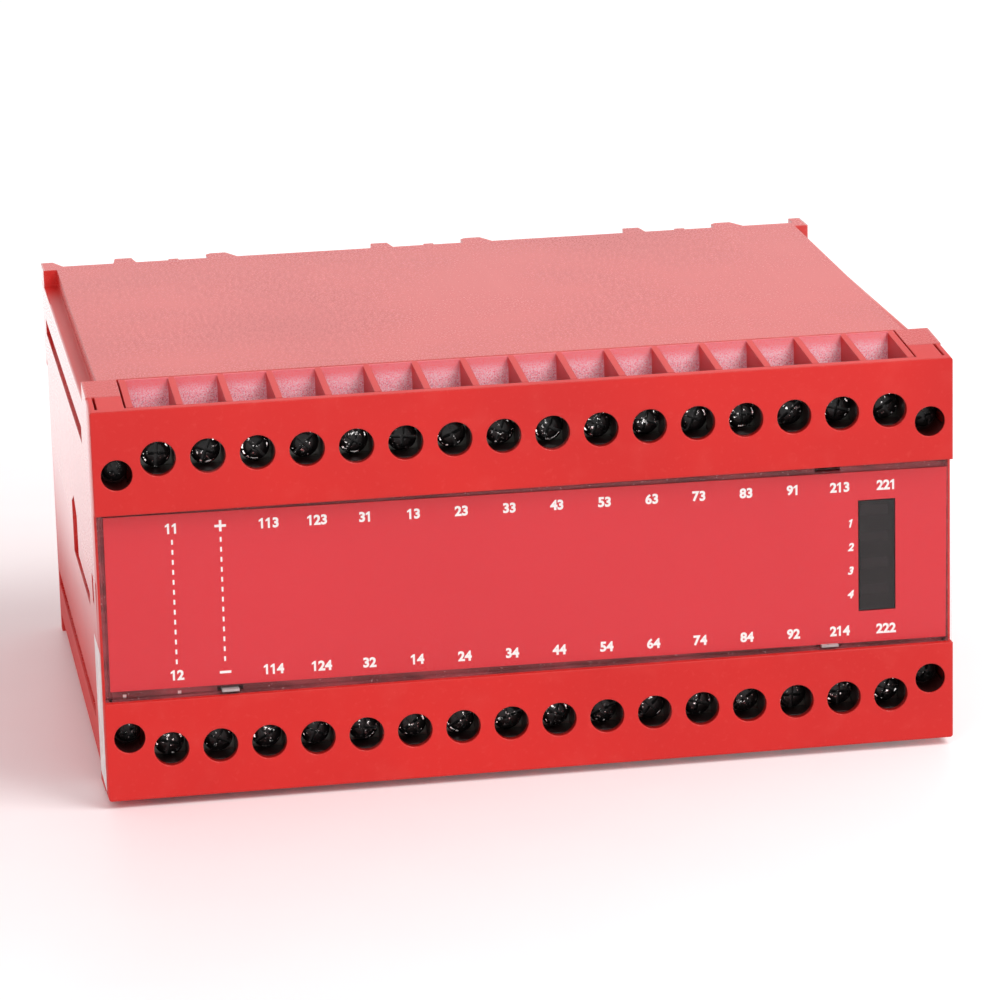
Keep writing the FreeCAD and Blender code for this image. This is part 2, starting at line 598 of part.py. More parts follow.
def makeTerminalScrews():
    head = column("screw_head", "Y", "HeadRadius", "HeadThick",
                  "FirstTerminal", "Front + HeadStart", "Row", 12)
    shank = column("screw_shank", "Y", "ShankRadius", "ShankLong",
                   "FirstTerminal", "Front + HeadStart + HeadThick", "Row", 6)
    slot = block("screw_slot", "FirstTerminal - HeadRadius", "FirstTerminal + HeadRadius",
                 "Front + HeadStart - Fit", "Front + HeadStart + SlotDeep",
                 "Row - SlotWide / 2", "Row + SlotWide / 2")
    screw = cut("terminal_screw", fuse("screw_turned", head, shank), slot)
    repeat("upper_terminal_screws", screw, terminalShifts())


def makeContacts():
    """Contact strips: up the back of each cage, under it, and up to a pin at the board."""
    inner = "Front + CellStart + CageGap + CageDeep - CageWall - Fit"
    low = "Row - CellDrop + Fit / 2"
    wide = "FirstTerminal - StripWide / 2", "FirstTerminal + StripWide / 2"
    riser = block("strip_riser", *wide, f"{inner} - StripThick", inner,
                  low, "Row - CageDrop + CageTall - Clearance")
    foot = block("strip_foot", *wide, f"{inner} - StripThick", "Front + PinReach", low, f"{low} + StripThick")
    tail = block("strip_tail", "FirstTerminal - PinWide / 2", "FirstTerminal + PinWide / 2",
                 "Front + PinReach - StripThick", "Front + PinReach", low, "BoardUnder")
    repeat("upper_contacts", fuse("contact", riser, foot, tail), terminalShifts())


def makeCoverScrews():
    start = "Front + CornerSeatDeep - CoverHeadThick"
    head = column("cover_head", "Y", "CoverHeadRadius", "CoverHeadThick", "-CornerX", start, "CornerDrop", 16)
    shank = column("cover_shank", "Y", "CoverShankRadius", "CoverShankLong",
                   "-CornerX", "Front + CornerSeatDeep", "CornerDrop", 8)
    arm = "CoverHeadRadius * 0.7"
    cross = [block("cover_cross_" + name, f"-CornerX - {wide}", f"-CornerX + {wide}", f"{start} - Fit",
                   f"{start} + SlotDeep", f"CornerDrop - {high}", f"CornerDrop + {high}")
             for name, wide, high in (("a", arm, "SlotWide / 2"), ("b", "SlotWide / 2", arm))]
    screw = cut("cover_screw", fuse("cover_turned", head, shank), fuse("cover_cross", *cross))
    across, up = 2 * number("CornerX"), number("CornerZ - CornerDrop")
    repeat("cover_screws", screw, [(0, 0, 0), (across, 0, 0), (0, 0, up), (across, 0, up)])


# ---- Base: rear plate, rail channel and its ribs ----

def moduleStart(index):
    return f"(-HalfWidth + {index} * Module)"


def makeBase():
    body = newBody("base")
    plate = sketchOn(body, "XZ", "HousingEnd")
    rectangle(plate, "-HalfWidth", "HalfWidth", "0 * Tall", "Tall")
    pad(body, plate, "FlangeThick")
    spigot = sketchOn(body, "XZ", "HousingEnd")
    outer = "PanelEdge - Wall - Fit"
    rectangle(spigot, f"-({outer})", outer, "Wall + Fit", "Tall - Wall - Fit")
    rectangle(spigot, f"-({outer} - SpigotThick)", f"{outer} - SpigotThick",
              "Wall + Fit + SpigotThick", "Tall - Wall - Fit - SpigotThick")
    pad(body, spigot, "SpigotDeep", -1)

    root, tip = "FlangeBack", "FlangeBack + FootDepth"
    hookLow = "Mid + RailTall / 2 - HookLap"
    slim = "SlimStart + SlimWide"
    broad = f"{slim} + LatchRoom"

    def module(sketch, index, lipped):
        """The two broad ribs of one module, seen from above."""
        start = moduleStart(index)
        polygon(sketch, [(f"{start} + RibStart", root), (f"{start} + RibStart + RibWide", root),
                         (f"{start} + RibStart + RibWide - RibBevel", tip),
                         (f"{start} + RibStart + RibBevel", tip)])
        left = f"{start} + {broad}"
        bevelled = [(f"{left} + BroadWide", root), (f"{left} + BroadWide - BroadBevel", tip)]
        if lipped:
            edge = [(f"{left} - LipWide", tip), (f"{left} - LipWide", f"{tip} - LipThick"),
                    (left, f"{tip} - LipThick")]
        else:
            edge = [(f"{left} + BroadNick", tip), (left, f"{tip} - BroadNick")]
        polygon(sketch, [(left, root)] + bevelled + edge)

    upper = sketchOn(body, "XY", "Tall")
    for index in range(sizes["ModuleCount"]):
        module(upper, index, False)
    polygon(upper, [("-HalfWidth", root), ("-HalfWidth + CornerRib + CornerBevel", root),
                    ("-HalfWidth + CornerRib", tip), ("-HalfWidth", tip)])
    rectangle(upper, "HalfWidth - CornerRib", "HalfWidth", root, tip)
    pad(body, upper, f"Tall - ({hookLow})", -1)
    slims = sketchOn(body, "XY", "Tall - SlimDrop")
    for index in range(sizes["ModuleCount"]):
        start = moduleStart(index)
        rectangle(slims, f"{start} + SlimStart", f"{start} + {slim}", root, tip)
    pad(body, slims, f"Tall - SlimDrop - ({hookLow})", -1)

    # Slot behind the upper hooks for the rail's edge.
    slot = sketchOn(body, "YZ", "0 * Tall")
    rectangle(slot, root, f"{root} + RailThick", f"{hookLow} - Wall", "Mid + RailTall / 2")
    pocket(body, slot, "2 * HalfWidth + Wall", 0)

    # Lower ribs: the latches run between the slim and the broad rib, held by their lips.
    lower = sketchOn(body, "XY", "0 * Tall")
    for index in range(sizes["ModuleCount"]):
        module(lower, index, True)
        start = moduleStart(index)
        side, lip = f"{start} + {slim}", f"{tip} - LipThick"
        polygon(lower, [(f"{start} + SlimStart", root), (side, root), (side, lip), (f"{side} + LipWide", lip),
                        (f"{side} + LipWide", tip), (f"{start} + SlimStart", tip)])
    pad(body, lower, "FootTop")

    # A peg for each latch spring to stand on.
    pegs = sketchOn(body, "XZ", root)
    for index in range(sizes["ModuleCount"]):
        middle = latchMiddle(index)
        rectangle(pegs, f"{middle} - SlideWindow / 2 + Clearance", f"{middle} + SlideWindow / 2 - Clearance",
                  pegLow, f"{pegLow} + PegTall")
    pad(body, pegs, "FootDepth - LipThick - Clearance", 1)
    return body


def latchMiddle(index):
    return f"({moduleStart(index)} + SlimStart + SlimWide + LatchRoom / 2)"


pegLow = "(LatchFoot + WindowFoot + Clearance)"
latchNames = ("left", "middle", "right")


def makeLatch(index, side):
    """A sprung slide with a chamfered nose that snaps over the rail's lower edge."""
    body = newBody("rail_latch_" + side)
    profile = sketchOn(body, "YZ", latchMiddle(index))
    near, far = "FlangeBack + Clearance", "FlangeBack + FootDepth - LipThick - Clearance"
    nose, top = f"{far} - NoseThick", "FootTop + NoseLap"
    polygon(profile, [
        (near, "LatchFoot"), (far, "LatchFoot"), (far, f"{top} - NoseChamfer"),
        (f"{nose} + NoseThick - NoseChamfer", top), (nose, top),
        (nose, "FootTop - RailLap"), (near, "FootTop - RailLap")])
    pad(body, profile, "LatchRoom - 2 * Clearance", 0)
    window = sketchOn(body, "XZ", near)
    middle = latchMiddle(index)
    rectangle(window, f"{middle} - SlideWindow / 2", f"{middle} + SlideWindow / 2",
              "LatchFoot + WindowFoot", "LatchFoot + WindowFoot + WindowLong")
    pocket(body, window, "FootDepth", 1)
    return body


def makeLatchSpring(index, side):
    """A strip folded to and fro, pushed together as the latch is drawn down."""
    body = newBody("latch_spring_" + side)
    sketch = sketchOn(body, "XZ", "FlangeBack + Clearance + Fit")
    low = f"({pegLow} + PegTall)"
    high = "(LatchFoot + WindowFoot + WindowLong - Clearance)"
    leftSide = f"({latchMiddle(index)} - SlideWindow / 2 + Clearance)"
    rightSide = f"({latchMiddle(index)} + SlideWindow / 2 - Clearance)"
    folds = sizes["SpringFolds"]

    def leaf(count, edge):
        """The underside or the upper side of one flat leaf of the strip."""
        return f"{low} + ({high} - {low} - SpringStrip) * {count} / SpringFolds + {edge} * SpringStrip"

    rising = [(leftSide, leaf(0, 0)), (rightSide, leaf(0, 0))]
    for fold in range(1, folds, 2):
        rising += [(rightSide, leaf(fold, 1)), (f"{leftSide} + SpringStrip", leaf(fold, 1)),
                   (f"{leftSide} + SpringStrip", leaf(fold + 1, 0)), (rightSide, leaf(fold + 1, 0))]
    falling = [(rightSide, leaf(folds, 1)), (leftSide, leaf(folds, 1))]
    for fold in range(folds - 1 - folds % 2, -1, -2):
        falling += [(leftSide, leaf(fold + 1, 0)), (f"{rightSide} - SpringStrip", leaf(fold + 1, 0)),
                    (f"{rightSide} - SpringStrip", leaf(fold, 1)), (leftSide, leaf(fold, 1))]
    polygon(sketch, rising + falling)
    pad(body, sketch, "SpringDeep", 1)
    return body


# ---- Circuit boards and what they carry ----

def makeBoards():
    for node, low in (("lower_board", "GrooveInset - BoardThick / 2"), ("upper_board", "BoardUnder")):
        keep(node, block(node, "-BoardReach", "BoardReach", "BoardFront", "BoardBack",
                         low, f"{low} + BoardThick"))
    keep("indicator_board", block("indicator_board", "WindowX - WindowWide", "BoardReach",
                                  "BoardFront", "BoardFront + BoardThick",
                                  "RowInset + CellDrop + Clearance", "Row - CellDrop - Clearance"))
    keep("link_board", block("link_board", "-LinkWide / 2", "LinkWide / 2",
                             "BoardBack - LinkInset - BoardThick", "BoardBack - LinkInset",
                             "BoardTop", "BoardUnder"))
    post = column("post", "Z", "PostRadius", "BoardUnder - BoardTop", "-(HalfWidth - PostInsetX)",
                  "BoardFront + PostInsetY", "BoardTop", 6)
    across, along = 2 * number("HalfWidth - PostInsetX"), number("BoardBack - BoardFront - 2 * PostInsetY")
    repeat("board_posts", post, [(0, 0, 0), (across, 0, 0), (0, along, 0), (across, along, 0)])


def makeTransformer():
    left = "(-(HalfWidth - PostInsetX - PostRadius - CoreStart))"
    front, back = "(BoardFront + CoreFront)", "(BoardFront + CoreFront + CoreStack)"
    core = block("core_outer", left, f"{left} + CoreWide", front, back, "BoardTop", "BoardTop + CoreTall")
    low, high = "BoardTop + CoreLeg", "BoardTop + CoreTall - CoreLeg"
    middle = f"({left} + CoreWide / 2)"
    windows = fuse("core_windows",
                   block("core_window_a", f"{left} + CoreLeg", f"{middle} - CoreMid / 2",
                         front, back, low, high),
                   block("core_window_b", f"{middle} + CoreMid / 2", f"{left} + CoreWide - CoreLeg",
                         front, back, low, high))
    keep("transformer_core", cut("transformer_core", core, windows))
    coil = block("coil_outer", f"{left} + CoreLeg + CoilGap", f"{left} + CoreWide - CoreLeg - CoilGap",
                 f"{front} - CoilOver", f"{back} + CoilOver", f"{low} + CoilGap", f"{high} - CoilGap")
    bore = block("coil_bore", f"{middle} - CoreMid / 2 - CoilGap", f"{middle} + CoreMid / 2 + CoilGap",
                 f"{front} - CoilOver - Wall", f"{back} + CoilOver + Wall", f"{low} - Wall", f"{high} + Wall")
    ends = [block("coil_end_" + name, f"{left} + CoreLeg + CoilGap", f"{left} + CoreWide - CoreLeg - CoilGap",
                  start, end, f"{low} + CoilGap", f"{high} - CoilGap")
            for name, start, end in (("a", f"{front} - CoilOver", f"{front} - CoilGap"),
                                     ("b", f"{back} + CoilGap", f"{back} + CoilOver"))]
    keep("transformer_coil", fuse("transformer_coil", cut("coil_sides", coil, bore), *ends))


def roundedCase(node, left, width, front, length, tall, edge):
    """A moulded relay case with its upright edges rounded."""
    body = newBody(node)
    foot = sketchOn(body, "XY", "BoardTop")
    rectangle(foot, left, f"{left} + {width}", front, f"{front} + {length}")
    soften(body, pad(body, foot, tall), edge, lambda line: abs(line.tangentAt(line.FirstParameter).z) > 0.9)
    return body


def makeRelays():
    start = "RelayStart"
    front = "(BoardBack - LinkInset - BoardThick - RelayBack - RelayLong)"
    step = "RelayWide + RelayGap"
    roundedCase("relay_k1", start, "RelayWide", front, "RelayLong", "RelayTall", "RelayEdge")
    roundedCase("relay_k2", f"({start} + {step})", "RelayWide", front, "RelayLong", "RelayTall", "RelayEdge")
    roundedCase("start_relay", f"({start} + 2 * ({step}))", "StartWide", front, "StartLong", "StartTall",
                "RelayEdge")


def makeSmallParts():
    can = column("can", "Z", "CapRadius", "CapTall", "HalfWidth - PostInsetX - CapInset + PostRadius",
                   "BoardFront + CapFront", "BoardTop")
    step = number("CapPitch")
    repeat("capacitors", can, [(0, 0, 0), (0, step, 0)])

    spot = "(RelayStart + 2 * RelayGap + 2 * RelayWide)"
    discX, discY = f"({spot} + DiscRadius)", "(BoardBack - DiscBack)"
    disc = column("disc", "Y", "DiscRadius", "DiscThick", discX, discY, "BoardTop + LeadLong + DiscRadius")
    leads = [block("lead_" + name, f"{discX} {sign} LeadPitch / 2 - LeadWide / 2",
                   f"{discX} {sign} LeadPitch / 2 + LeadWide / 2", f"{discY} + DiscThick / 2 - LeadWide / 2",
                   f"{discY} + DiscThick / 2 + LeadWide / 2", "BoardTop", "BoardTop + LeadLong + DiscRadius")
             for name, sign in (("a", "-"), ("b", "+"))]
    keep("varistor", fuse("varistor", disc, *leads))
    keep("fuse_link", column("fuse_link", "Z", "FuseRadius", "FuseTall",
                             discX, "BoardBack - FuseBack", "BoardTop"))
    keep("rectifier", block("rectifier", "HalfWidth - PostInsetX - BridgeWide", "HalfWidth - PostInsetX",
                            "BoardBack - BridgeBack", "BoardBack - BridgeBack + BridgeThick",
                            "BoardTop", "BoardTop + BridgeTall"))
    top = "BoardUnder + BoardThick"
    chip = block("chip", "-ChipPitch - ChipLong / 2", "-ChipPitch + ChipLong / 2",
                 "-ChipWide / 2", "ChipWide / 2", top, f"{top} + ChipTall")
    pitch = number("ChipPitch")
    repeat("logic_chips", chip, [(index * pitch, 0, 0) for index in range(3)])


# ---- Build, check and write ----

makeHousing()
makeFrontCover()
makeClearCover()
makeLabel()
makeWindow()
makeLightGuide()
makeLamps()
mirrored("lower_terminal_block", makeTerminalBlock())
for make, group in ((makeClamps, "clamps"), (makeTerminalScrews, "terminal_screws"),
                    (makeContacts, "contacts")):
    make()
    mirrored("lower_" + group, nodes["upper_" + group])
makeCoverScrews()
makeBase()
for index, side in enumerate(latchNames):
    makeLatch(index, side)
    makeLatchSpring(index, side)
makeBoards()
makeTransformer()
makeRelays()
makeSmallParts()
doc.recompute()

for thing in doc.Objects:
    if {"Invalid", "Error"} & set(thing.State):
        raise RuntimeError(f"{thing.Name} did not build: {thing.State}")
    if thing.TypeId in ("PartDesign::Pocket", "PartDesign::Groove"):
        before = thing.BaseFeature.Shape.Volume
        if thing.Shape.Volume > before - 0.001:
            raise RuntimeError(f"{thing.Name} cuts nothing")
for node, thing in nodes.items():
    if thing.Shape.isNull() or not thing.Shape.isValid():
        raise RuntimeError(f"{node} has no valid shape")

os.makedirs("parts", exist_ok=True)
for node, thing in nodes.items():
    thing.Shape.exportStep(f"parts/{node}.step")
    print(f"{node}: {len(thing.Shape.Solids)} solid(s), {thing.Shape.Volume:.1f} mm3")
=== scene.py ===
import bpy
import json
import math
from mathutils import Matrix, Vector


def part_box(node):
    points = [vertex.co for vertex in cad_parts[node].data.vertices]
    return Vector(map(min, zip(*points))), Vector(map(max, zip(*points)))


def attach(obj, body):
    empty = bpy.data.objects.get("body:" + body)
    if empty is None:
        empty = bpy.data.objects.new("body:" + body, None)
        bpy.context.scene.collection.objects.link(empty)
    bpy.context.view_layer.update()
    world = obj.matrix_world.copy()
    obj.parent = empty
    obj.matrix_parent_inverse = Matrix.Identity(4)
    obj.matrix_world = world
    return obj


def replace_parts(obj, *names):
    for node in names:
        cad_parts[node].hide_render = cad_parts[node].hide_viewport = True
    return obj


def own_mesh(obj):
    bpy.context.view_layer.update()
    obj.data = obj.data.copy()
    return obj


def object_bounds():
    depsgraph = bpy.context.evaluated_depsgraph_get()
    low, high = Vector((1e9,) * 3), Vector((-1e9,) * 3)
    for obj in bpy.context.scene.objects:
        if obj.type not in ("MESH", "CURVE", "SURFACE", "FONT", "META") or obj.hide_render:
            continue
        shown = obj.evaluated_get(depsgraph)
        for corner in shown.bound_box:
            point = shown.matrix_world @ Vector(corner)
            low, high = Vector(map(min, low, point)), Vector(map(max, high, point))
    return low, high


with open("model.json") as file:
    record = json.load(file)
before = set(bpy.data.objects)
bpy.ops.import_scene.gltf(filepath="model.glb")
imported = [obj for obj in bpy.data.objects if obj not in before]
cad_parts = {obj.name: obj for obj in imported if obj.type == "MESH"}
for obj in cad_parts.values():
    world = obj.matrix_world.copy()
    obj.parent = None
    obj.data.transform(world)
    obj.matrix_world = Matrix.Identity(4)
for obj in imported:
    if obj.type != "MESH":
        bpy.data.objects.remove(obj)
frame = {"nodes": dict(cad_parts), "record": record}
nodes = frame["nodes"]
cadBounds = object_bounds()
print("frame loaded:", len(nodes), "nodes")


# Shader maths: a Wire wraps one socket, so values can be written as plain expressions.
class Wire:
    def __init__(self, owner, socket):
        self.owner = owner
        self.socket = socket

    def maths(self, operation, *values):
        return self.owner.node("Math", {"operation": operation}, dict(enumerate(values)))

    def __add__(self, other):
        return self.maths("ADD", self, other)

    def __radd__(self, other):
        return self.maths("ADD", other, self)

    def __sub__(self, other):
        return self.maths("SUBTRACT", self, other)

    def __rsub__(self, other):
        return self.maths("SUBTRACT", other, self)

    def __mul__(self, other):
        return self.maths("MULTIPLY", self, other)

    def __mod__(self, other):
        return self.maths("FLOORED_MODULO", self, other)

    def __gt__(self, other):
        return self.maths("GREATER_THAN", self, other)

    def __lt__(self, other):
        return self.maths("LESS_THAN", self, other)

    def __abs__(self):
        return self.maths("ABSOLUTE", self)

    def root(self):
        return self.maths("SQRT", self)

    def atLeast(self, other):
        return self.maths("MAXIMUM", self, other)

    def rise(self, start, end):
        inputs = {"Value": self, "From Min": start, "From Max": end}
        return self.owner.node("MapRange", {"interpolation_type": "SMOOTHSTEP"}, inputs)


# The nodes of a material or of the world.
class Shading:
    def __init__(self, user):
        user.use_nodes = True
        self.tree = user.node_tree

    def plug(self, socket, value):
        if isinstance(value, Wire):
            self.tree.links.new(value.socket, socket)
        elif socket.type == "RGBA" and len(value) == 3:
            socket.default_value = (*value, 1)
        else:
            socket.default_value = value

    def node(self, kind, settings=None, inputs=None, output=0):
        made = self.tree.nodes.new("ShaderNode" + kind)
        for setting, value in (settings or {}).items():
            setattr(made, setting, value)
        for socket, value in (inputs or {}).items():
            self.plug(made.inputs[socket], value)
        return Wire(self, made.outputs[output])

    def vector(self, operation, first, second=None, output="Vector", **inputs):
        inputs[0] = first
        if second is not None:
            inputs[1] = second
        return self.node("VectorMath", {"operation": operation}, inputs, output)

    def rays(self):  # what the camera sees by any way, and what is seen in a mirror
        straight, mirrored, passed = [self.node("LightPath", output=f"Is {kind} Ray")
                                      for kind in ("Camera", "Glossy", "Transmission")]
        return straight.atLeast(mirrored).atLeast(passed), mirrored


class Paint(Shading):
    def __init__(self, name):
        self.material = bpy.data.materials.new(name)
        super().__init__(self.material)
        self.shader = self.tree.nodes["Principled BSDF"]
        self.place = self.node("TexCoord", output="Object")
        split = self.node("SeparateXYZ", inputs={0: self.place}).socket.node
        self.x, self.y, self.z = [Wire(self, socket) for socket in split.outputs]
        self.tilt = None

    def noise(self, scale, detail=2.0, roughness=0.5, where=None):
        inputs = {"Vector": where or self.place, "Scale": scale, "Detail": detail, "Roughness": roughness}
        return self.node("TexNoise", inputs=inputs)

    def stretched(self, across, along, up):
        return self.vector("MULTIPLY", self.place, (across, along, up))

    def blend(self, share, first, second):
        return self.node("Mix", {"data_type": "RGBA"}, {0: share, 6: first, 7: second}, output=2)

    def relief(self, height, distance, normal=None):
        inputs = {"Height": height, "Distance": distance}
        if normal:
            inputs["Normal"] = normal
        return self.node("Bump", inputs=inputs)

    def softEdges(self, radius, least=0.02, most=0.3):
        soft = self.node("Bevel", {"samples": 4}, {"Radius": radius})
        flat = self.node("NewGeometry", output="Normal")
        match = self.vector("DOT_PRODUCT", soft, flat, output="Value")
        return soft, (1 - match).rise(least, most)

    def finish(self, **values):
        for name, value in values.items():
            words = "".join(" " + letter if letter.isupper() else letter for letter in name)
            self.plug(self.shader.inputs[words.strip().replace("I O R", "IOR")], value)
        return self.material


def colour(red, green, blue):  # screen values from 0 to 255, as linear light
    return tuple(((part / 255 + 0.055) / 1.055) ** 2.4 if part > 10 else part / 255 / 12.92
                 for part in (red, green, blue))


def near(place, middle, reach):
    return abs(place - middle) < reach


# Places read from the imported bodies.
coverLow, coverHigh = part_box("front_cover")
clearLow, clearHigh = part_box("clear_cover")
labelLow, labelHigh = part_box("label_plate")
screwLow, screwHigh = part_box("upper_terminal_screws")
lowerScrewLow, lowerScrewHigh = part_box("lower_terminal_screws")
windowLow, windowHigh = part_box("indicator_window")
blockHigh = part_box("upper_terminal_block")[1]
terminals = {"count": 16, "pitch": 0.0085}
front = coverLow.y
upperRow = (screwLow.z + screwHigh.z) / 2
lowerRow = (lowerScrewLow.z + lowerScrewHigh.z) / 2
middleZ = (upperRow + lowerRow) / 2
labelMiddle = (labelLow.z + labelHigh.z) / 2
clearMiddle = (clearLow.z + clearHigh.z) / 2


def fromTerminal(paint):  # how far a place lies in x from the middle of its terminal
    pitch = terminals["pitch"]
    return abs((paint.x + terminals["count"] / 2 * pitch) % pitch - pitch / 2)


def wear(node, paint):
    slots = nodes[node].material_slots
    for slot in slots:
        slot.material = paint
    if not slots:
        nodes[node].data.materials.append(paint)


# The reds. The flanks are the two sides, and the ledges run beside the top panel, a little below it.
# Here and below, a noise is given as its scale, detail and roughness, and a span as where a blend of it
# starts and ends.
flanks = {
    "skin": 0.0003, "start": 0.0175, "ledge": cadBounds[1].z - 0.0033, "ledgeTall": 0.0006,
    "ledgeRough": 0.14, "foot": 0.04, "footRough": 0.4, "dust": colour(120, 88, 104), "dustShare": 0.5,
    "dustNoise": (1300, 3, 0.8), "dustSpan": (0.64, 0.68), "low": 0.006, "high": 0.04, "coat": 0.64,
    "edge": 0.001, "full": 0.007,
}
reds = {
    "red": colour(214, 40, 34), "deep": colour(200, 34, 30), "pale": colour(236, 96, 88), "rough": 0.27,
    "bend": 1.58, "edge": 0.0003, "shine": 0.35, "dots": 0.1, "streaks": 0.08, "relief": 0.000006,
    "cloud": (22, 3), "speck": (900, 2, 0.7), "grain": (2600, 3, 0.6), "flow": (30, 2, 0.5),
    "flowStretch": (6, 0.5, 6), "cloudSpan": (0.3, 0.7), "speckSpan": (0.55, 0.75), "flowSpan": (0.5, 0.8),
    "grainRough": 0.07, "cloudRough": 0.05,
}
coverReds = {**reds, "red": colour(217, 32, 26), "deep": colour(206, 28, 24), "rough": 0.42, "bend": 1.42,
             "edge": 0.0005, "shine": 0.3, "relief": 0.00001}
blockReds = {**reds, "red": colour(214, 42, 38), "deep": colour(204, 34, 32), "rough": 0.42, "bend": 1.45}


def redPlastic(name, settings, marks=None):
    paint = Paint(name)
    soft, edge = paint.softEdges(settings["edge"])
    cloud, speck, grain = [paint.noise(*settings[kind]) for kind in ("cloud", "speck", "grain")]
    flow = paint.noise(*settings["flow"], paint.stretched(*settings["flowStretch"]))
    base = paint.blend(cloud.rise(*settings["cloudSpan"]), settings["red"], settings["deep"])
    base = paint.blend(speck.rise(*settings["speckSpan"]) * settings["dots"], base, settings["pale"])
    base = paint.blend(flow.rise(*settings["flowSpan"]) * settings["streaks"], base, settings["pale"])
    # Rounded edges are blended towards pale red: a painted highlight.
    base = paint.blend(edge * settings["shine"], base, settings["pale"])
    if marks:
        base = marks(paint, base)
    ledge = near(paint.z, flanks["ledge"], flanks["ledgeTall"]) * (paint.y > front + flanks["start"])
    flank = (abs(paint.x) > cadBounds[1].x - flanks["skin"]) * (paint.y > front + flanks["skin"])
    foot = flank * (1 - paint.z.rise(0, flanks["foot"]))
    rough = settings["rough"] + (grain - 0.5) * settings["grainRough"]
    rough = rough + (cloud - 0.5) * settings["cloudRough"]
    rough = rough + ledge * flanks["ledgeRough"] + foot * flanks["footRough"]
    dust = paint.noise(*flanks["dustNoise"]).rise(*flanks["dustSpan"])
    base = paint.blend(flank * dust * flanks["dustShare"], base, flanks["dust"])
    coat = flank * paint.z.rise(flanks["low"], flanks["high"]) * flanks["coat"]
    coat = coat * paint.y.rise(front + flanks["edge"], front + flanks["full"])
    surface = paint.relief(grain, settings["relief"], soft)
    if paint.tilt:
        upward = paint.vector("SCALE", (0, 0, 1), Scale=paint.tilt)
        surface = paint.vector("NORMALIZE", paint.vector("ADD", surface, upward))
    return paint.finish(BaseColor=base, Roughness=rough, Normal=surface, CoatWeight=coat,
                        IOR=settings["bend"])


# Painted shade in the cells behind the driver holes and lower down in the wire pockets, and painted light on
# the pockets' back walls, a pale mottled pink. The upper walls' normals lean upwards, which makes these walls
# brighter.
pockets = {
    "wall": blockHigh.y - 0.0008, "face": 0.0004, "inner": 0.003, "outer": 0.0362, "rim": 0.0030,
    "lip": 0.3, "cell": 0.0033, "cellDeep": 0.0095, "cellShade": 0.97, "fin": 0.0012, "spare": 0.0001,
    "fall": 0.008, "tilt": 1.0, "veil": 0.92, "sunk": 0.55, "lipShare": 0.5,
    "bloom": (3800, 3, 0.75), "bloomSpan": (0.38, 0.6), "dust": (5200, 2, 0.6), "whiteSpan": (0.6, 0.7),
    "whiteShare": 0.55, "shadeSpan": (0.45, 0.34), "shadeFall": (0.1, 0.6), "shadeShare": 0.6,
}
pocketTints = {
    "dark": colour(20, 12, 12), "sunk": colour(110, 12, 14), "lip": colour(238, 74, 84),
    "veil": colour(252, 112, 134), "pale": colour(255, 206, 218), "white": colour(255, 244, 246),
    "shade": colour(160, 52, 92),
}


def pocketPaintedLight(row):
    def marks(paint, base):
        along = fromTerminal(paint)
        beyond = abs(paint.z - middleZ)
        # Painted shade: the cells behind the driver holes turn near-black.
        cell = (along < pockets["cell"]) * near(paint.z, row, pockets["cell"])
        cell = cell * (paint.y < front + pockets["cellDeep"])
        wall = near(paint.y, pockets["wall"], pockets["face"])
        wall = wall * (beyond > abs(row - middleZ) + pockets["inner"])
        wall = wall * (along < terminals["pitch"] / 2 - pockets["fin"] / 2 + pockets["spare"])
        # Painted shade lower down in the pockets: sink grows with depth, darkening fins and floors towards
        # deep red and the wall specks towards violet.
        sink = (pockets["outer"] - beyond).rise(0, pockets["fall"])
        # Painted light on the back walls: a pale mottled pink with white specks, red again at the top lip.
        bloom, dust = paint.noise(*pockets["bloom"]), paint.noise(*pockets["dust"])
        veil = paint.blend(bloom.rise(*pockets["bloomSpan"]), pocketTints["veil"], pocketTints["pale"])
        white = dust.rise(*pockets["whiteSpan"]) * pockets["whiteShare"]
        veil = paint.blend(white, veil, pocketTints["white"])
        shade = dust.rise(*pockets["shadeSpan"]) * sink.rise(*pockets["shadeFall"]) * pockets["shadeShare"]
        veil = paint.blend(shade, veil, pocketTints["shade"])
        lip = beyond.rise(pockets["outer"] - pockets["rim"],
                          pockets["outer"] - pockets["rim"] * pockets["lip"])
        lip = lip * (pockets["lipShare"] + bloom * (1 - pockets["lipShare"]))
        veil = paint.blend(lip, veil, pocketTints["lip"])
        base = paint.blend((1 - wall) * sink * pockets["sunk"], base, pocketTints["sunk"])
        base = paint.blend(wall * pockets["veil"], base, veil)
        paint.tilt = wall * (paint.z > middleZ) * pockets["tilt"]
        return paint.blend(cell * pockets["cellShade"], base, pocketTints["dark"])
    return marks


# Marks on the cover: painted shade in the driver holes and the corner screws' seats, and on the floor of the
# recess, which shows round the label as a mottled maroon band of painted shade and has two specks.
holeWalls = {"start": 0.0004, "end": 0.0004, "driver": 0.0032, "driverShade": 0.6, "seat": 0.0029,
             "seatX": 0.0709, "seatRise": 0.0234, "seatShade": 0.93}
recessFloor = {"start": 0.0012, "half": 0.0175, "share": 0.95, "mottle": (300, 3, 0.6),
               "stretch": (0.3, 1, 1), "mottleSpan": (0.35, 0.65), "sparkle": (2200, 2),
               "sparkleSpan": (0.66, 0.72), "sparkleShare": 0.4}
borderDots = {"places": (-0.0713, -0.0618), "rise": -0.0160, "radius": 0.0003, "share": 0.8}
coverTints = {"driver": colour(70, 8, 8), "seat": colour(38, 12, 12), "floor": colour(96, 24, 30),
              "mottle": colour(146, 54, 62), "sparkle": colour(232, 190, 190), "dot": colour(240, 210, 210)}


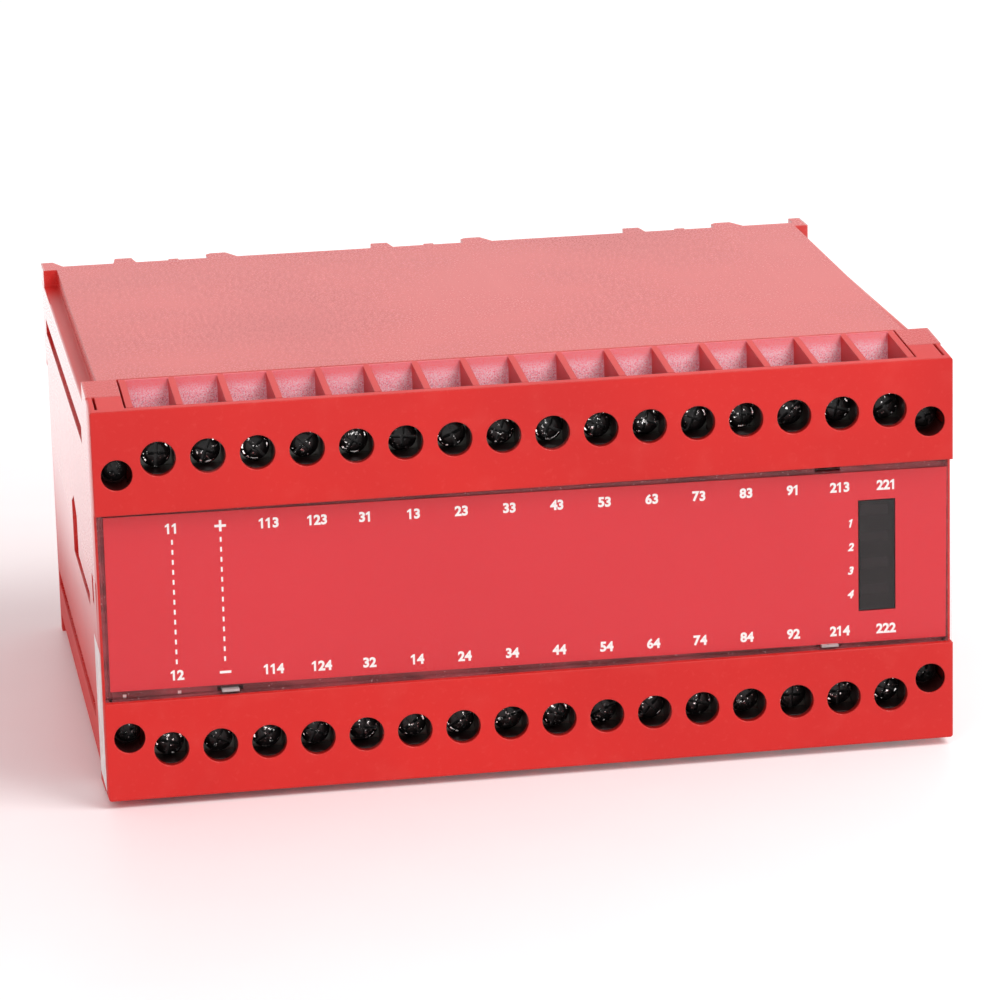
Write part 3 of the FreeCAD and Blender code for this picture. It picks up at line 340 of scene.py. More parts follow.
def underLid(paint, base):
    away = abs(paint.z - middleZ)
    within = abs(paint.x) < coverHigh.x - holeWalls["end"]
    inside = within * (paint.y > front + holeWalls["start"])
    driver = fromTerminal(paint) < holeWalls["driver"]
    driver = driver * near(away, upperRow - middleZ, holeWalls["driver"])
    seat = near(abs(paint.x), holeWalls["seatX"], holeWalls["seat"])
    seat = seat * near(away, holeWalls["seatRise"], holeWalls["seat"])
    base = paint.blend(inside * driver * holeWalls["driverShade"], base, coverTints["driver"])
    base = paint.blend(inside * seat * holeWalls["seatShade"], base, coverTints["seat"])
    # The recess floor round the label: painted shade, a mottled maroon with fine pale specks and two dots.
    sunk = within * (paint.y > front + recessFloor["start"])
    sunk = sunk * near(paint.z, labelMiddle, recessFloor["half"])
    mottle = paint.noise(*recessFloor["mottle"], paint.stretched(*recessFloor["stretch"]))
    sparkle = paint.noise(*recessFloor["sparkle"]).rise(*recessFloor["sparkleSpan"])
    floor = paint.blend(mottle.rise(*recessFloor["mottleSpan"]), coverTints["floor"], coverTints["mottle"])
    floor = paint.blend(sparkle * recessFloor["sparkleShare"], floor, coverTints["sparkle"])
    for place in borderDots["places"]:
        dot = near(paint.x, place, borderDots["radius"])
        dot = dot * near(paint.z - labelMiddle, borderDots["rise"], borderDots["radius"])
        floor = paint.blend(dot * borderDots["share"], floor, coverTints["dot"])
    return paint.blend(sunk * recessFloor["share"], base, floor)


housingRed = redPlastic("housing_red", reds)
coverRed = redPlastic("cover_red", coverReds, underLid)
upperRed = redPlastic("upper_row_red", blockReds, pocketPaintedLight(upperRow))
lowerRed = redPlastic("lower_row_red", blockReds, pocketPaintedLight(lowerRow))
wear("housing", housingRed)
wear("base", housingRed)
wear("front_cover", coverRed)
wear("upper_terminal_block", upperRed)
wear("lower_terminal_block", lowerRed)

film = {"cloud": (30, 2), "weave": (1500, 2, 0.6), "weaveSpan": (0.5, 0.8), "weaveShare": 0.24,
        "rough": 0.42, "weaveRough": 0.1, "relief": 0.000004}


def labelFilm():
    paint = Paint("label_film")
    cloud, weave = paint.noise(*film["cloud"]), paint.noise(*film["weave"])
    base = paint.blend(cloud, colour(206, 20, 34), colour(216, 26, 41))
    base = paint.blend(weave.rise(*film["weaveSpan"]) * film["weaveShare"], base, colour(236, 84, 98))
    return paint.finish(BaseColor=base, Roughness=film["rough"] + weave * film["weaveRough"],
                        Normal=paint.relief(weave, film["relief"]))


clear = {"scuff": (600, 3, 0.7), "stretch": (1, 1, 0.25), "scuffSpan": (0.6, 0.85), "edge": 0.0002,
         "edgeShare": 0.5, "rough": 0.06, "scuffRough": 0.08}


def clearPlastic(name, veil):
    paint = Paint(name)
    scuff = paint.noise(*clear["scuff"], paint.stretched(*clear["stretch"]))
    soft, edge = paint.softEdges(clear["edge"])
    base = paint.blend(scuff, colour(250, 240, 240), colour(232, 214, 214))
    # Edges are blended to dark red: a painted shadow of the gap round the lid.
    base = paint.blend(edge, base, colour(84, 18, 24))
    alpha = veil + scuff.rise(*clear["scuffSpan"]) * veil + edge * clear["edgeShare"]
    return paint.finish(BaseColor=base, Roughness=clear["rough"] + scuff * clear["scuffRough"], Alpha=alpha,
                        Normal=soft)


# The smoked window: faint bars of the light guide behind it, and dark ends, a painted shadow of the window's
# side walls.
smoke = {"half": 0.00315, "barPitch": 0.0048, "barFrom": 0.0012, "barTo": 0.0017, "barShare": 0.3,
         "jambRight": 0.0011, "jambLeft": 0.0002, "jambShare": 0.9, "cloud": (160, 2), "rough": 0.16,
         "cloudRough": 0.1, "gleam": 0.2, "relief": 0.00001}
windowMiddleX = (windowLow.x + windowHigh.x) / 2


def smoked():
    paint = Paint("smoked_plastic")
    cloud = paint.noise(*smoke["cloud"])
    base = paint.blend(cloud, colour(10, 7, 8), colour(20, 15, 16))
    bars = abs((paint.z - windowLow.z) % smoke["barPitch"] - smoke["barPitch"] / 2)
    bars = bars.rise(smoke["barFrom"], smoke["barTo"])
    base = paint.blend(bars * smoke["barShare"], base, colour(36, 30, 32))
    # Painted shadow of the side walls at both ends of the window.
    right = paint.x > windowMiddleX + smoke["half"] - smoke["jambRight"]
    left = paint.x < windowMiddleX - smoke["half"] + smoke["jambLeft"]
    base = paint.blend(right.atLeast(left) * smoke["jambShare"], base, colour(2, 1, 1))
    return paint.finish(BaseColor=base, Roughness=smoke["rough"] + cloud * smoke["cloudRough"],
                        Normal=paint.relief(cloud, smoke["relief"]), SpecularIORLevel=smoke["gleam"])


# Near-black screws: worn chips and a ring of bare metal, both broken up by noise.
nearBlack = {"stain": (700, 3), "chips": (1100, 4, 0.75), "chipSpan": (0.6, 0.63), "chipPatches": (260, 1),
            "chipLeast": 0.45, "rough": 0.2, "stainRough": 0.2, "bareRough": 0.6, "gleam": 0.32,
            "chipRelief": 0.5, "relief": 0.00006}
burrs = {"inner": 0.0020, "full": 0.0021, "fade": 0.0023, "outer": 0.0024, "rise": 9000,
         "patches": (1000, 2, 0.7), "least": 0.6}


def blackSteel():
    paint = Paint("blackened_steel")
    stain, chips = paint.noise(*nearBlack["stain"]), paint.noise(*nearBlack["chips"])
    base = paint.blend(stain, colour(10, 8, 8), colour(24, 22, 22))
    across = fromTerminal(paint)
    up = abs(paint.z - middleZ) - (upperRow - middleZ)
    reach = (across * across + up * up).root()
    burr = reach.rise(burrs["inner"], burrs["full"]) * (1 - reach.rise(burrs["fade"], burrs["outer"]))
    burr = burr * (paint.noise(*burrs["patches"]) > burrs["least"])
    chip = paint.noise(*nearBlack["chipPatches"]) > nearBlack["chipLeast"]
    chip = chips.rise(*nearBlack["chipSpan"]) * chip
    bare = chip.atLeast(burr)
    height = stain + chips * nearBlack["chipRelief"] + burr * (reach - burrs["inner"]) * burrs["rise"]
    base = paint.blend(bare, base, colour(255, 252, 250))
    rough = (nearBlack["rough"] + stain * nearBlack["stainRough"]) * (1 - bare * nearBlack["bareRough"])
    return paint.finish(BaseColor=base, Metallic=bare, Roughness=rough, SpecularIORLevel=nearBlack["gleam"],
                        Normal=paint.relief(height, nearBlack["relief"]))


brushing = {"brushed": (1800, 3, 0.6), "stain": (140, 3), "stainSpan": (0.35, 0.7), "share": 0.4,
            "roughen": 0.2, "relief": 0.000008}


def metal(name, light, dark, rough, stretch=(1, 1, 1)):
    paint = Paint(name)
    brushed = paint.noise(*brushing["brushed"], paint.stretched(*stretch))
    base = paint.blend(paint.noise(*brushing["stain"]).rise(*brushing["stainSpan"]), light, dark)
    base = paint.blend(brushed * brushing["share"], base, dark)
    return paint.finish(BaseColor=base, Metallic=1.0, Roughness=rough + (brushed - 0.5) * brushing["roughen"],
                        Normal=paint.relief(brushed, brushing["relief"]))


# Circuit boards: wandering tracks and rows of soldered holes.
boards = {"wander": (60, 1), "wanderReach": 0.006, "trackWide": 0.24, "trackPatches": (90, 0),
          "trackLeast": 0.47, "trackShare": 0.5, "holeScale": 260, "holeRadius": 0.16, "holeLane": 0.4,
          "fibre": (3000, 2),
          "rough": 0.32, "fibreRough": 0.12, "fibreRelief": 0.1, "relief": 0.00003}


def board(name, pitch):
    paint = Paint(name)
    lanes = abs((paint.x + paint.noise(*boards["wander"]) * boards["wanderReach"]) % pitch - pitch / 2)
    tracks = paint.noise(*boards["trackPatches"]) > boards["trackLeast"]
    tracks = (lanes < pitch * boards["trackWide"]) * tracks
    cells = {"Vector": paint.place, "Scale": boards["holeScale"]}
    holes = paint.node("TexVoronoi", {"feature": "F1"}, cells) < boards["holeRadius"]
    fibre = paint.noise(*boards["fibre"])
    base = paint.blend(fibre, colour(18, 84, 46), colour(26, 100, 56))
    base = paint.blend(tracks * boards["trackShare"], base, colour(60, 140, 74))
    base = paint.blend(holes * (lanes < pitch * boards["holeLane"]), base, colour(196, 200, 196))
    return paint.finish(BaseColor=base, Roughness=boards["rough"] + fibre * boards["fibreRough"],
                        Normal=paint.relief(tracks + fibre * boards["fibreRelief"], boards["relief"]))


moulding = {"cloud": (60, 3), "cloudSpan": (0.35, 0.65), "grain": (2400, 2), "roughen": 0.15,
            "relief": 0.00001}


def moulded(name, main, second, rough, marks=None):
    paint = Paint(name)
    cloud, grain = paint.noise(*moulding["cloud"]), paint.noise(*moulding["grain"])
    base = paint.blend(cloud.rise(*moulding["cloudSpan"]), main, second)
    if marks:
        base = marks(paint, base)
    return paint.finish(BaseColor=base, Roughness=rough + (grain - 0.5) * moulding["roughen"],
                        Normal=paint.relief(grain, moulding["relief"]))


lampLevels = {"amber": 0.0083, "green": 0.0179}


def lampColours(paint, base):
    base = paint.blend(paint.z > windowLow.z + lampLevels["amber"], base, colour(238, 178, 40))
    return paint.blend(paint.z > windowLow.z + lampLevels["green"], base, colour(60, 200, 90))


cans = {"stripe": 0.0022, "dashPitch": 0.006, "dash": 0.0036, "cap": 0.0004}


def canMarks(paint, base):
    low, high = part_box("capacitors")
    stripe = near(paint.x, low.x, cans["stripe"])
    dashes = (paint.z % cans["dashPitch"] < cans["dash"]) * stripe
    base = paint.blend(stripe, base, colour(150, 160, 185))
    base = paint.blend(dashes, base, colour(30, 38, 70))
    return paint.blend(paint.z > high.z - cans["cap"], base, colour(190, 192, 194))


coil = {"turns": (900, 2, 0.5), "stretch": (0.2, 0.2, 3), "turnShare": 0.5, "wrapped": 0.42}


def coilMarks(paint, base):
    low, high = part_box("transformer_coil")
    turns = paint.noise(*coil["turns"], paint.stretched(*coil["stretch"]))
    wrapped = near(paint.z, (low.z + high.z) / 2, (high.z - low.z) * coil["wrapped"])
    base = paint.blend(turns * coil["turnShare"], base, colour(190, 140, 40))
    return paint.blend(wrapped, colour(40, 38, 38), base)


core = {"leaf": 0.0005, "gap": 0.00006, "gapShare": 0.7, "weldZ": 0.02, "weld": 0.0012, "weldShare": 0.5}


def sheets(paint, base):
    leaf = near(paint.y % core["leaf"], core["leaf"] / 2, core["gap"])
    weld = near(paint.z, core["weldZ"], core["weld"])
    base = paint.blend(leaf * core["gapShare"], base, colour(24, 24, 26))
    return paint.blend(weld * core["weldShare"], base, colour(120, 116, 110))


blotches = {"noise": (500, 2), "span": (0.6, 0.7), "share": 0.25}


def blotched(paint, base):
    blotch = paint.noise(*blotches["noise"]).rise(*blotches["span"])
    return paint.blend(blotch * blotches["share"], base, colour(70, 70, 72))


finishes = {
    "label_plate": labelFilm(),
    "clear_cover": clearPlastic("clear_plastic", 0.012),
    "indicator_window": smoked(),
    "light_guide": clearPlastic("clear_guide", 0.2),
    "indicator_leds": moulded("led_resin", colour(214, 52, 44), colour(224, 70, 60), 0.2, lampColours),
    "upper_board": board("upper_board_green", 0.0025),
    "lower_board": board("lower_board_green", 0.0031),
    "indicator_board": board("indicator_board_green", 0.0019),
    "link_board": board("link_board_green", 0.0023),
    "upper_clamps": metal("clamp_steel", colour(196, 196, 190), colour(138, 136, 130), 0.36, (1, 3, 0.3)),
    "upper_terminal_screws": blackSteel(),
    "upper_contacts": metal("brass_strip", colour(214, 190, 128), colour(176, 146, 84), 0.3, (3, 0.3, 0.3)),
    "latch_spring_left": metal("spring_steel", colour(176, 178, 182), colour(120, 122, 128), 0.25,
                               (4, 4, 0.4)),
    "rail_latch_left": moulded("latch_plastic", colour(120, 18, 18), colour(98, 14, 14), 0.36),
    "board_posts": metal("plated_steel", colour(206, 206, 200), colour(150, 150, 146), 0.3),
    "transformer_core": moulded("core_steel", colour(92, 90, 92), colour(66, 64, 68), 0.42, sheets),
    "transformer_coil": moulded("coil_tape", colour(226, 186, 72), colour(208, 164, 54), 0.38, coilMarks),
    "relay_k1": moulded("relay_case", colour(38, 38, 40), colour(26, 26, 28), 0.35, blotched),
    "capacitors": moulded("can_sleeve", colour(18, 26, 62), colour(24, 34, 76), 0.24, canMarks),
    "varistor": moulded("varistor_coat", colour(32, 84, 168), colour(24, 70, 150), 0.34, blotched),
    "rectifier": moulded("dark_resin", colour(30, 30, 31), colour(40, 40, 41), 0.4, blotched),
}
sharing = {
    "upper_clamps": ("lower_clamps",),
    "upper_terminal_screws": ("lower_terminal_screws", "cover_screws"),
    "upper_contacts": ("lower_contacts",),
    "rail_latch_left": ("rail_latch_middle", "rail_latch_right"),
    "latch_spring_left": ("latch_spring_middle", "latch_spring_right"),
    "relay_k1": ("relay_k2", "start_relay"),
    "rectifier": ("fuse_link", "logic_chips"),
}
for node, finish in finishes.items():
    for wearer in (node, *sharing.get(node, ())):
        wear(wearer, finish)
print("finishes done:", len(bpy.data.materials))


# Screws: a turned head and threaded shank, cut across, set in rows by geometry nodes.
screws = {
    "terminal": {"head": 0.0026, "tall": 0.0022, "shank": 0.00172, "long": 0.0062, "pitch": 0.0007,
                 "slots": ((0.0056, 0.0006, 0.0009), (0.0006, 0.0034, 0.0012))},
    "cover": {"head": 0.0022, "tall": 0.0018, "shank": 0.00118, "long": 0.012, "pitch": 0.0009,
              "slots": ((0.0026, 0.0007, 0.0011), (0.0007, 0.0026, 0.0011))},
}
turning = {"sides": 40, "dome": (0.3, 0.6, 0.8, 0.92), "domeTall": 0.35, "rim": 0.38, "flank": 0.9,
           "bevel": 0.96, "rootWide": 0.82, "rootFrom": 0.2, "rootTo": 0.35, "crest": 0.8, "tip": 0.7,
           "above": 0.001}


def plainMesh(holder):
    bpy.context.view_layer.update()
    mesh = bpy.data.meshes.new_from_object(holder.evaluated_get(bpy.context.evaluated_depsgraph_get()))
    bpy.data.objects.remove(holder)
    return mesh


def placed(name, data):
    holder = bpy.data.objects.new(name, data)
    bpy.context.scene.collection.objects.link(holder)
    return holder


def newMesh(name, points, faces):
    mesh = bpy.data.meshes.new(name)
    mesh.from_pydata(points, [], faces)
    return mesh


def blockMesh(xs, ys, zs):
    points = [(x, y, z) for y in ys
              for x, z in ((xs[0], zs[0]), (xs[1], zs[0]), (xs[1], zs[1]), (xs[0], zs[1]))]
    faces = [(0, 1, 2, 3), (7, 6, 5, 4), (0, 4, 5, 1), (1, 5, 6, 2), (2, 6, 7, 3), (3, 7, 4, 0)]
    return newMesh("block", points, faces)


def skinned(name, points, sides, flip=False):  # rings of points joined into a tube with closed ends
    faces = []
    for ring in range(0, len(points) - sides, sides):
        for side in range(sides):
            after = (side + 1) % sides
            face = (ring + side, ring + sides + side, ring + sides + after, ring + after)
            faces.append((face[0], face[3], face[2], face[1]) if flip else face)
    first, last = tuple(range(sides)), tuple(range(len(points) - sides, len(points)))
    faces += [first[::-1], last] if flip else [first, last[::-1]]
    return newMesh(name, points, faces)


def turned(profile):
    angles = [2 * math.pi * side / turning["sides"] for side in range(turning["sides"])]
    points = [(radius * math.cos(angle), along, radius * math.sin(angle))
              for radius, along in profile for angle in angles]
    return skinned("turned", points, turning["sides"])


def screwMesh(screw):
    head, tall, shank, pitch = screw["head"], screw["tall"], screw["shank"], screw["pitch"]
    profile = [(head * share, tall * (1 - math.sqrt(1 - share ** 2)) * turning["domeTall"])
               for share in turning["dome"]]
    profile += [(head, tall * turning["rim"]), (head, tall * turning["flank"]),
                (head * turning["bevel"], tall), (shank, tall)]
    root = shank * turning["rootWide"]
    for turn in range(int(screw["long"] / pitch)):
        start = tall + turn * pitch
        profile += [(root, start + pitch * turning["rootFrom"]), (root, start + pitch * turning["rootTo"]),
                    (shank, start + pitch * turning["crest"])]
    profile.append((shank * turning["tip"], tall + screw["long"]))
    mesh = turned(profile)
    for wide, high, deep in screw["slots"]:
        holder = placed("screw", mesh)
        cut = blockMesh((-wide / 2, wide / 2), (-turning["above"], deep), (-high / 2, high / 2))
        cutter = placed("slot", cut)
        bite = holder.modifiers.new("slot", "BOOLEAN")
        bite.object, bite.operation, bite.solver = cutter, "DIFFERENCE", "EXACT"
        mesh = plainMesh(holder)
        bpy.data.objects.remove(cutter)
    return mesh


rowSockets = {"count": "NodeSocketInt", "start": "NodeSocketVector", "step": "NodeSocketVector",
              "seed": "NodeSocketInt", "finish": "NodeSocketMaterial"}


def rowTree():
    tree = bpy.data.node_groups.new("row_of_screws", "GeometryNodeTree")
    face, add = tree.interface, tree.nodes.new
    face.new_socket("Geometry", in_out="INPUT", socket_type="NodeSocketGeometry")
    for name, kind in rowSockets.items():
        face.new_socket(name, in_out="INPUT", socket_type=kind)
    face.new_socket("Geometry", in_out="OUTPUT", socket_type="NodeSocketGeometry")
    given, givenOut = add("NodeGroupInput"), add("NodeGroupOutput")
    line, spin = add("GeometryNodeMeshLine"), add("FunctionNodeRandomValue")
    place, whole = add("GeometryNodeInstanceOnPoints"), add("GeometryNodeRealizeInstances")
    dress = add("GeometryNodeSetMaterial")
    spin.data_type = "FLOAT_VECTOR"
    spin.inputs["Min"].default_value = (0, 0, 0)
    spin.inputs["Max"].default_value = (0, 2 * math.pi, 0)
    wires = (
        (given, "count", line, "Count"), (given, "start", line, "Start Location"),
        (given, "step", line, "Offset"), (given, "seed", spin, "Seed"),
        (line, "Mesh", place, "Points"), (given, "Geometry", place, "Instance"),
        (spin, "Value", place, "Rotation"), (place, "Instances", whole, "Geometry"),
        (whole, "Geometry", dress, "Geometry"), (given, "finish", dress, "Material"),
        (dress, "Geometry", givenOut, "Geometry"),
    )
    for source, output, target, socket in wires:
        tree.links.new(source.outputs[output], target.inputs[socket])
    return tree


screwRow = rowTree()


def rowOf(mesh, **values):
    holder = placed("row", mesh.copy())
    setter = holder.modifiers.new("row", "NODES")
    setter.node_group = screwRow
    for socket in screwRow.interface.items_tree:
        if socket.in_out == "INPUT" and socket.name in values:
            setter[socket.identifier] = values[socket.name]
    return plainMesh(holder)


def joined(name, meshes, finish, body="relay"):
    points, faces = [], []
    for mesh in meshes:
        start = len(points)
        points += [vertex.co.copy() for vertex in mesh.vertices]
        faces += [[start + index for index in polygon.vertices] for polygon in mesh.polygons]
        bpy.data.meshes.remove(mesh)
    whole = newMesh(name, points, faces)
    whole.materials.append(finish)
    piece = placed(name, whole)
    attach(piece, body)
    return piece


steelBlack = finishes["upper_terminal_screws"]
firstTerminal = -(terminals["count"] - 1) / 2 * terminals["pitch"]
terminalScrew = screwMesh(screws["terminal"])
for node, level, seed in (("upper_terminal_screws", upperRow, 3), ("lower_terminal_screws", lowerRow, 8)):
    row = rowOf(terminalScrew, count=terminals["count"], start=(firstTerminal, screwLow.y, level),
                step=(terminals["pitch"], 0, 0), seed=seed, finish=steelBlack)
    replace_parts(joined(node + "_threaded", [row], steelBlack), node)
coverScrewLow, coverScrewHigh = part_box("cover_screws")
coverScrew = screwMesh(screws["cover"])
inset = screws["cover"]["head"]
rows = [rowOf(coverScrew, count=2, start=(coverScrewLow.x + inset, coverScrewLow.y, level),
              step=(coverScrewHigh.x - coverScrewLow.x - 2 * inset, 0, 0), seed=seed, finish=steelBlack)
        for level, seed in ((coverScrewLow.z + inset, 5), (coverScrewHigh.z - inset, 9))]
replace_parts(joined("cover_screws_threaded", rows, steelBlack), "cover_screws")
print("screws set")


# Print on the label: plain terminal numbers, polarity signs and dashed lines, askew like the label.
prints = {
    "rise": 0.00003, "slope": 0.007, "firstX": -0.0620, "lastX": 0.0634, "topLine": 0.01295,
    "footLine": -0.0132, "digit": 0.00184, "bold": 0.042, "step": 0.64, "stroke": 0.2, "flag": 0.2,
    "flagFoot": 0.8, "flagRoot": 0.4, "barLong": 0.0020, "barThick": 0.00045, "dash": 0.00085,
    "dashWide": 0.00032, "dashes": 13, "dashGap": 0.0024, "sign": 0.0015, "signX": 0.0570,
    "signPitch": 0.0043, "signSlant": 0.25, "signs": 4,
    "top": ["11", "+", "113", "123", "31", "13", "23", "33", "43", "53", "63", "73", "83", "91", "213",
            "221"],
    "foot": ["12", "-", "114", "124", "32", "14", "24", "34", "44", "54", "64", "74", "84", "92", "214",
             "222"],
}
markPitch = (prints["lastX"] - prints["firstX"]) / (terminals["count"] - 1)


def onLabel(x, rise):
    return x + rise * prints["slope"], labelMiddle + rise - x * prints["slope"]


def standing(mesh, x, rise):
    spotX, spotZ = onLabel(x, rise)
    mesh.transform(Matrix.Translation((spotX, labelLow.y - prints["rise"], spotZ))
                   @ Matrix.Rotation(prints["slope"], 4, "Y") @ Matrix.Rotation(math.pi / 2, 4, "X"))
    return mesh


def oneShape(tall, slant):
    half, top, flag = tall * prints["stroke"] / 2, tall / 2, tall * prints["flag"]
    foot, root = 2 * half * prints["flagFoot"], 2 * half * prints["flagRoot"]
    outline = [(-half, -top), (half, -top), (half, top), (-half / 2, top), (-half - flag, top - flag),
               (-half - flag, top - flag - foot), (-half, top - flag - root)]
    return newMesh("one", [(x + y * slant, y, 0) for x, y in outline], [tuple(range(len(outline)))])


def digitShape(digit, tall, slant):
    curve = bpy.data.curves.new("digit", "FONT")
    curve.body, curve.size, curve.align_x, curve.align_y = digit, 1, "CENTER", "CENTER"
    curve.offset, curve.shear, curve.resolution_u = prints["bold"], slant, 3
    mesh = plainMesh(placed("digit", curve))
    xs, ys = [vertex.co.x for vertex in mesh.vertices], [vertex.co.y for vertex in mesh.vertices]
    mesh.transform(Matrix.Scale(tall / (max(ys) - min(ys)), 4)
                   @ Matrix.Translation((-(max(xs) + min(xs)) / 2, -(max(ys) + min(ys)) / 2, 0)))
    return mesh


def number(words, tall, x, rise, slant=0.0):
    meshes = []
    for index, digit in enumerate(words):
        shape = oneShape(tall, slant) if digit == "1" else digitShape(digit, tall, slant)
        meshes.append(standing(shape, x + (index - (len(words) - 1) / 2) * prints["step"] * tall, rise))
    return meshes


def bar(x, rise, wide, tall):
    spotX, spotZ = onLabel(x, rise)
    return blockMesh((spotX - wide / 2, spotX + wide / 2), (labelLow.y - prints["rise"], labelLow.y),
                     (spotZ - tall / 2, spotZ + tall / 2))


def polarity(mark, x, rise):
    bars = [bar(x, rise, prints["barLong"], prints["barThick"])]
    arm = (prints["barLong"] - prints["barThick"]) / 2
    for side in (-1, 1) if mark == "+" else ():
        bars.append(bar(x, rise + side * (prints["barThick"] + arm) / 2, prints["barThick"], arm))
    return bars


inking = {"speck": (2500, 2), "rough": 0.5, "speckRough": 0.1}
inkPaint = Paint("white_ink")
inkSpeck = inkPaint.noise(*inking["speck"])
ink = inkPaint.finish(BaseColor=inkPaint.blend(inkSpeck, colour(255, 252, 250), colour(248, 238, 236)),
                      Roughness=inking["rough"] + inkSpeck * inking["speckRough"])
printed = []
for index in range(terminals["count"]):
    x = prints["firstX"] + index * markPitch
    for marks, rise in ((prints["top"], prints["topLine"]), (prints["foot"], prints["footLine"])):
        if marks[index] in "+-":
            printed += polarity(marks[index], x, rise)
        else:
            printed += number(marks[index], prints["digit"], x, rise)
dashRun = prints["topLine"] - prints["footLine"] - 2 * prints["dashGap"]
for step in range(prints["dashes"]):
    rise = prints["footLine"] + prints["dashGap"] + dashRun * step / (prints["dashes"] - 1)
    for column in (0, 1):
        printed.append(bar(prints["firstX"] + column * markPitch, rise, prints["dashWide"], prints["dash"]))
windowMiddle = (windowLow.z + windowHigh.z) / 2
for step in range(prints["signs"]):
    rise = windowMiddle - labelMiddle + (step - (prints["signs"] - 1) / 2) * prints["signPitch"]
    sign = str(prints["signs"] - step)
    printed += number(sign, prints["sign"], prints["signX"], rise, slant=prints["signSlant"])
joined("label_print", printed, ink)
print("label printed")


# Latch springs: a strip folded to and fro with round bends.
foldedSpring = {"leaves": 6, "thick": 0.0004, "bendSteps": 6, "travelSpare": 0.0001}


def springMesh(low, high):
    thick = foldedSpring["thick"] / 2
    gap = (high.z - low.z - 2 * thick) / (foldedSpring["leaves"] - 1)
    middle = (low.x + high.x) / 2
    reach = (high.x - low.x) / 2 - thick - gap / 2
    path = [(middle - reach - gap / 2, low.z + thick, 0, 1)]  # x, z and the way across the strip
    for leaf in range(foldedSpring["leaves"] - 1):
        side = 1 if leaf % 2 == 0 else -1
        bendX, bendZ = middle + side * reach, low.z + thick + gap * (leaf + 0.5)
        for step in range(foldedSpring["bendSteps"] + 1):
            angle = math.pi * step / foldedSpring["bendSteps"]
            outX, outZ = side * math.sin(angle), -math.cos(angle)
            path.append((bendX + outX * gap / 2, bendZ + outZ * gap / 2, -outX * side, -outZ * side))
    last = -1 if foldedSpring["leaves"] % 2 == 0 else 1
    path.append((middle + last * (reach + gap / 2), high.z - thick, 0, path[-1][3]))
    corners = ((low.y, -1), (high.y, -1), (high.y, 1), (low.y, 1))
    points = [(x + acrossX * edge * thick, y, z + acrossZ * edge * thick)
              for x, z, acrossX, acrossZ in path for y, edge in corners]
    return skinned("spring", points, len(corners), flip=True)


joints = {joint["name"]: joint for joint in frame["record"]["behaviour"]["joints"]}
for side in ("left", "middle", "right"):
    node = "latch_spring_" + side
    low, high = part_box(node)
    spring = joined(node + "_folded", [springMesh(low, high)], finishes["latch_spring_left"])
    travel = max(joints[f"rail_latch_{side}_slide"]["range_m"]) + foldedSpring["travelSpare"]
    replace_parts(spring, node)
    1 - travel / (high.z - low.z)
    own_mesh(spring)
print("springs folded")


# A bare plate low on the left side, webs that close the slit at the recess ends, and the cover's snap tabs.
sidePlate = {"start": 0.0042, "end": 0.0172, "low": 0.0018, "high": 0.0268, "thick": 0.00001,
             "speck": (900, 3, 0.7), "stretch": (1, 1, 0.3), "speckSpan": (0.35, 0.6), "rough": 0.35,
             "speckRough": 0.2, "relief": 0.00001}
platePaint = Paint("bare_plate")
speck = platePaint.noise(*sidePlate["speck"], platePaint.stretched(*sidePlate["stretch"]))
plateBase = platePaint.blend(speck.rise(*sidePlate["speckSpan"]), colour(206, 190, 190),
                             colour(255, 250, 250))
plateFinish = platePaint.finish(BaseColor=plateBase, Normal=platePaint.relief(speck, sidePlate["relief"]),
                                Roughness=sidePlate["rough"] + speck * sidePlate["speckRough"])
plate = blockMesh((coverLow.x - sidePlate["thick"], coverLow.x + sidePlate["thick"]),
                  (front + sidePlate["start"], front + sidePlate["end"]),
                  (sidePlate["low"], sidePlate["high"]))
joined("side_plate", [plate], plateFinish)

webs = {"inner": 0.0735, "outer": 0.07395, "start": 0.002, "end": 0.0038}
webMeshes = [blockMesh(ends, (front + webs["start"], front + webs["end"]), (clearLow.z, clearHigh.z))
             for ends in ((-webs["outer"], -webs["inner"]), (webs["inner"], webs["outer"]))]
joined("recess_webs", webMeshes, coverRed)

tabs = {"places": (-0.053, 0.053), "long": 0.003, "tall": 0.0004, "rise": -0.0158, "start": 0.0008,
        "end": 0.0036, "cloud": (900, 3), "rough": 0.2, "cloudRough": 0.2}
tabPaint = Paint("snap_tab")
cloud = tabPaint.noise(*tabs["cloud"])
tabFinish = tabPaint.finish(BaseColor=tabPaint.blend(cloud, colour(150, 140, 140), colour(206, 196, 196)),
                            Roughness=tabs["rough"] + cloud * tabs["cloudRough"])
tabTop = clearMiddle + tabs["rise"]
tabMeshes = [blockMesh((x - tabs["long"] / 2, x + tabs["long"] / 2),
                       (front + tabs["start"], front + tabs["end"]), (tabTop - tabs["tall"], tabTop))
             for x in tabs["places"]]
joined("snap_tabs", tabMeshes, tabFinish)
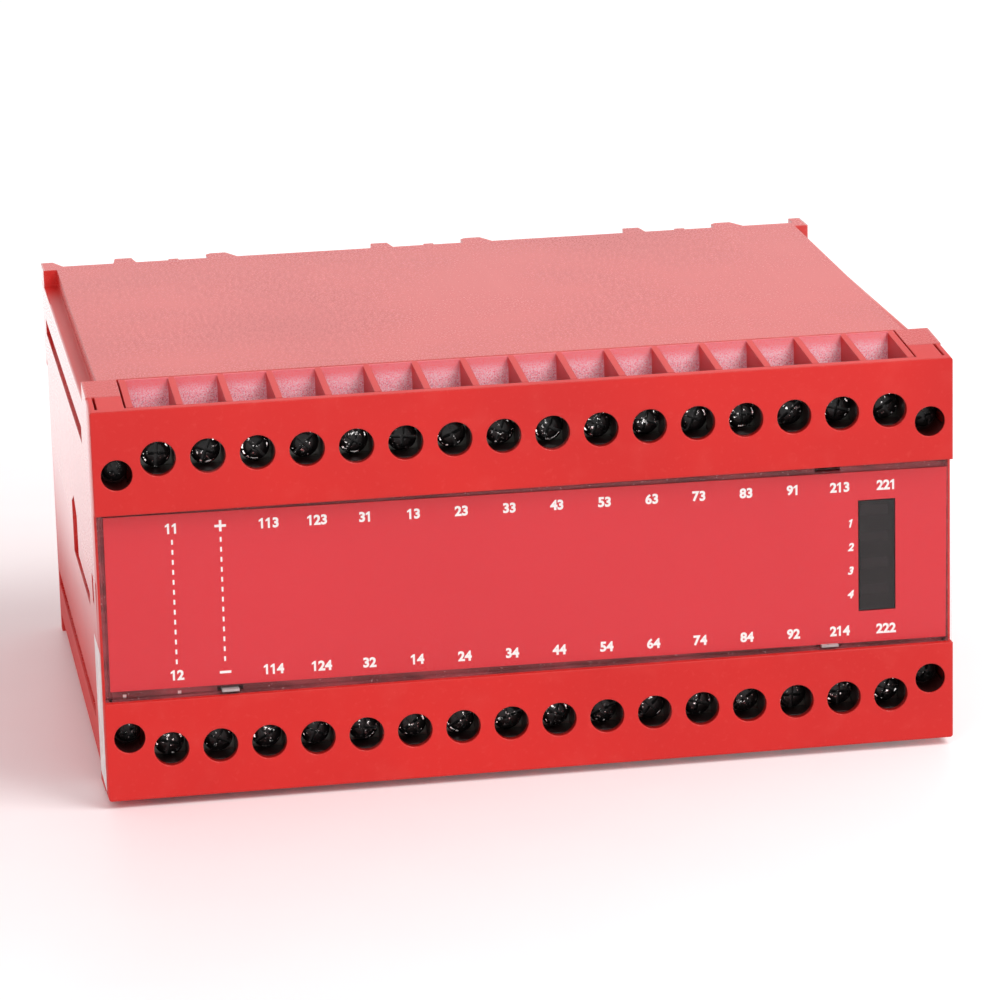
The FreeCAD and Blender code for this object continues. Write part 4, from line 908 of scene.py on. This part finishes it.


# Floor, lamps, world and camera. The floor keeps its shadow and is white where seen or mirrored; its glow is
# weaker and reddish round a point left of the object, a painted pink shadow with painted red bounce light.
stage = {"size": 6.0, "near": (0.09, 0.012, 0.016), "far": (0.32, 0.32, 0.32), "mirrored": 0.8,
         "shade": (0.13, 0, 0), "nearReach": 0.03, "farReach": 0.375, "grain": (40, 2), "rough": 0.4,
         "grainRough": 0.05}
floorPaint = Paint("floor")
grain = floorPaint.noise(*stage["grain"])
seen, mirrored = floorPaint.rays()
away = floorPaint.vector("ADD", floorPaint.place, stage["shade"])
away = floorPaint.vector("LENGTH", away, output="Value")
# Painted shadow and red bounce: the glow is dim and red near the shade point, grey-white far from it.
glow = floorPaint.blend(away.rise(stage["nearReach"], stage["farReach"]), stage["near"], stage["far"])
glow = floorPaint.blend(seen, (0, 0, 0), glow)
glow = floorPaint.vector("SCALE", glow, Scale=1 + mirrored * stage["mirrored"])
floorBase = floorPaint.blend(grain, colour(246, 242, 242), colour(240, 236, 237))
half = stage["size"] / 2
floorMesh = newMesh("floor", [(-half, -half, 0), (half, -half, 0), (half, half, 0), (-half, half, 0)],
                    [(0, 1, 2, 3)])
floorMesh.materials.append(floorPaint.finish(BaseColor=floorBase, EmissionColor=glow, EmissionStrength=1.0,
                                             Roughness=stage["rough"] + grain * stage["grainRough"]))
floor = placed("floor", floorMesh)
floor.location.z = cadBounds[0].z

lamps = {
    "key": {"place": (0.55, -0.45, 1.0), "aim": (0, 0, 0.03), "size": 0.7, "power": 9.0},
    "fill": {"place": (-0.7, -0.9, 0.7), "aim": (0, 0, 0.03), "size": 0.9, "power": 3.0},
}
for name, lamp in lamps.items():
    light = bpy.data.lights.new(name, "AREA")
    light.shape, light.size, light.energy = "SQUARE", lamp["size"], lamp["power"]
    holder = placed(name, light)
    holder.location = lamp["place"]
    aim = Vector(lamp["aim"]) - holder.location
    holder.rotation_euler = aim.to_track_quat("-Z", "Y").to_euler()

# The world is plain white where seen, and lights the object a little less.
sky = {"lighting": 0.55, "seen": 1.0, "colour": (1, 1, 1)}
scene = bpy.context.scene
scene.world = bpy.data.worlds.new("studio")
world = Shading(scene.world)
levels = {"Value": world.rays()[0], "To Min": sky["lighting"], "To Max": sky["seen"]}
background = world.tree.nodes["Background"]
world.plug(background.inputs["Strength"], world.node("MapRange", inputs=levels))
world.plug(background.inputs["Color"], sky["colour"])

view = {"place": (-0.12540, -0.81589, 0.25635), "turn": (74.506, 1.544, -9.309), "lens": 165.92,
        "sensor": 36, "shiftX": 0.0098, "shiftY": 0.0371}
lens = bpy.data.cameras.new("camera")
lens.sensor_width, lens.lens = view["sensor"], view["lens"]
lens.shift_x, lens.shift_y = view["shiftX"], view["shiftY"]
camera = placed("camera", lens)
camera.location = view["place"]
camera.rotation_euler = [math.radians(angle) for angle in view["turn"]]
scene.camera = camera
scene.view_settings.view_transform = "Standard"
print("stage, lamps and camera set")
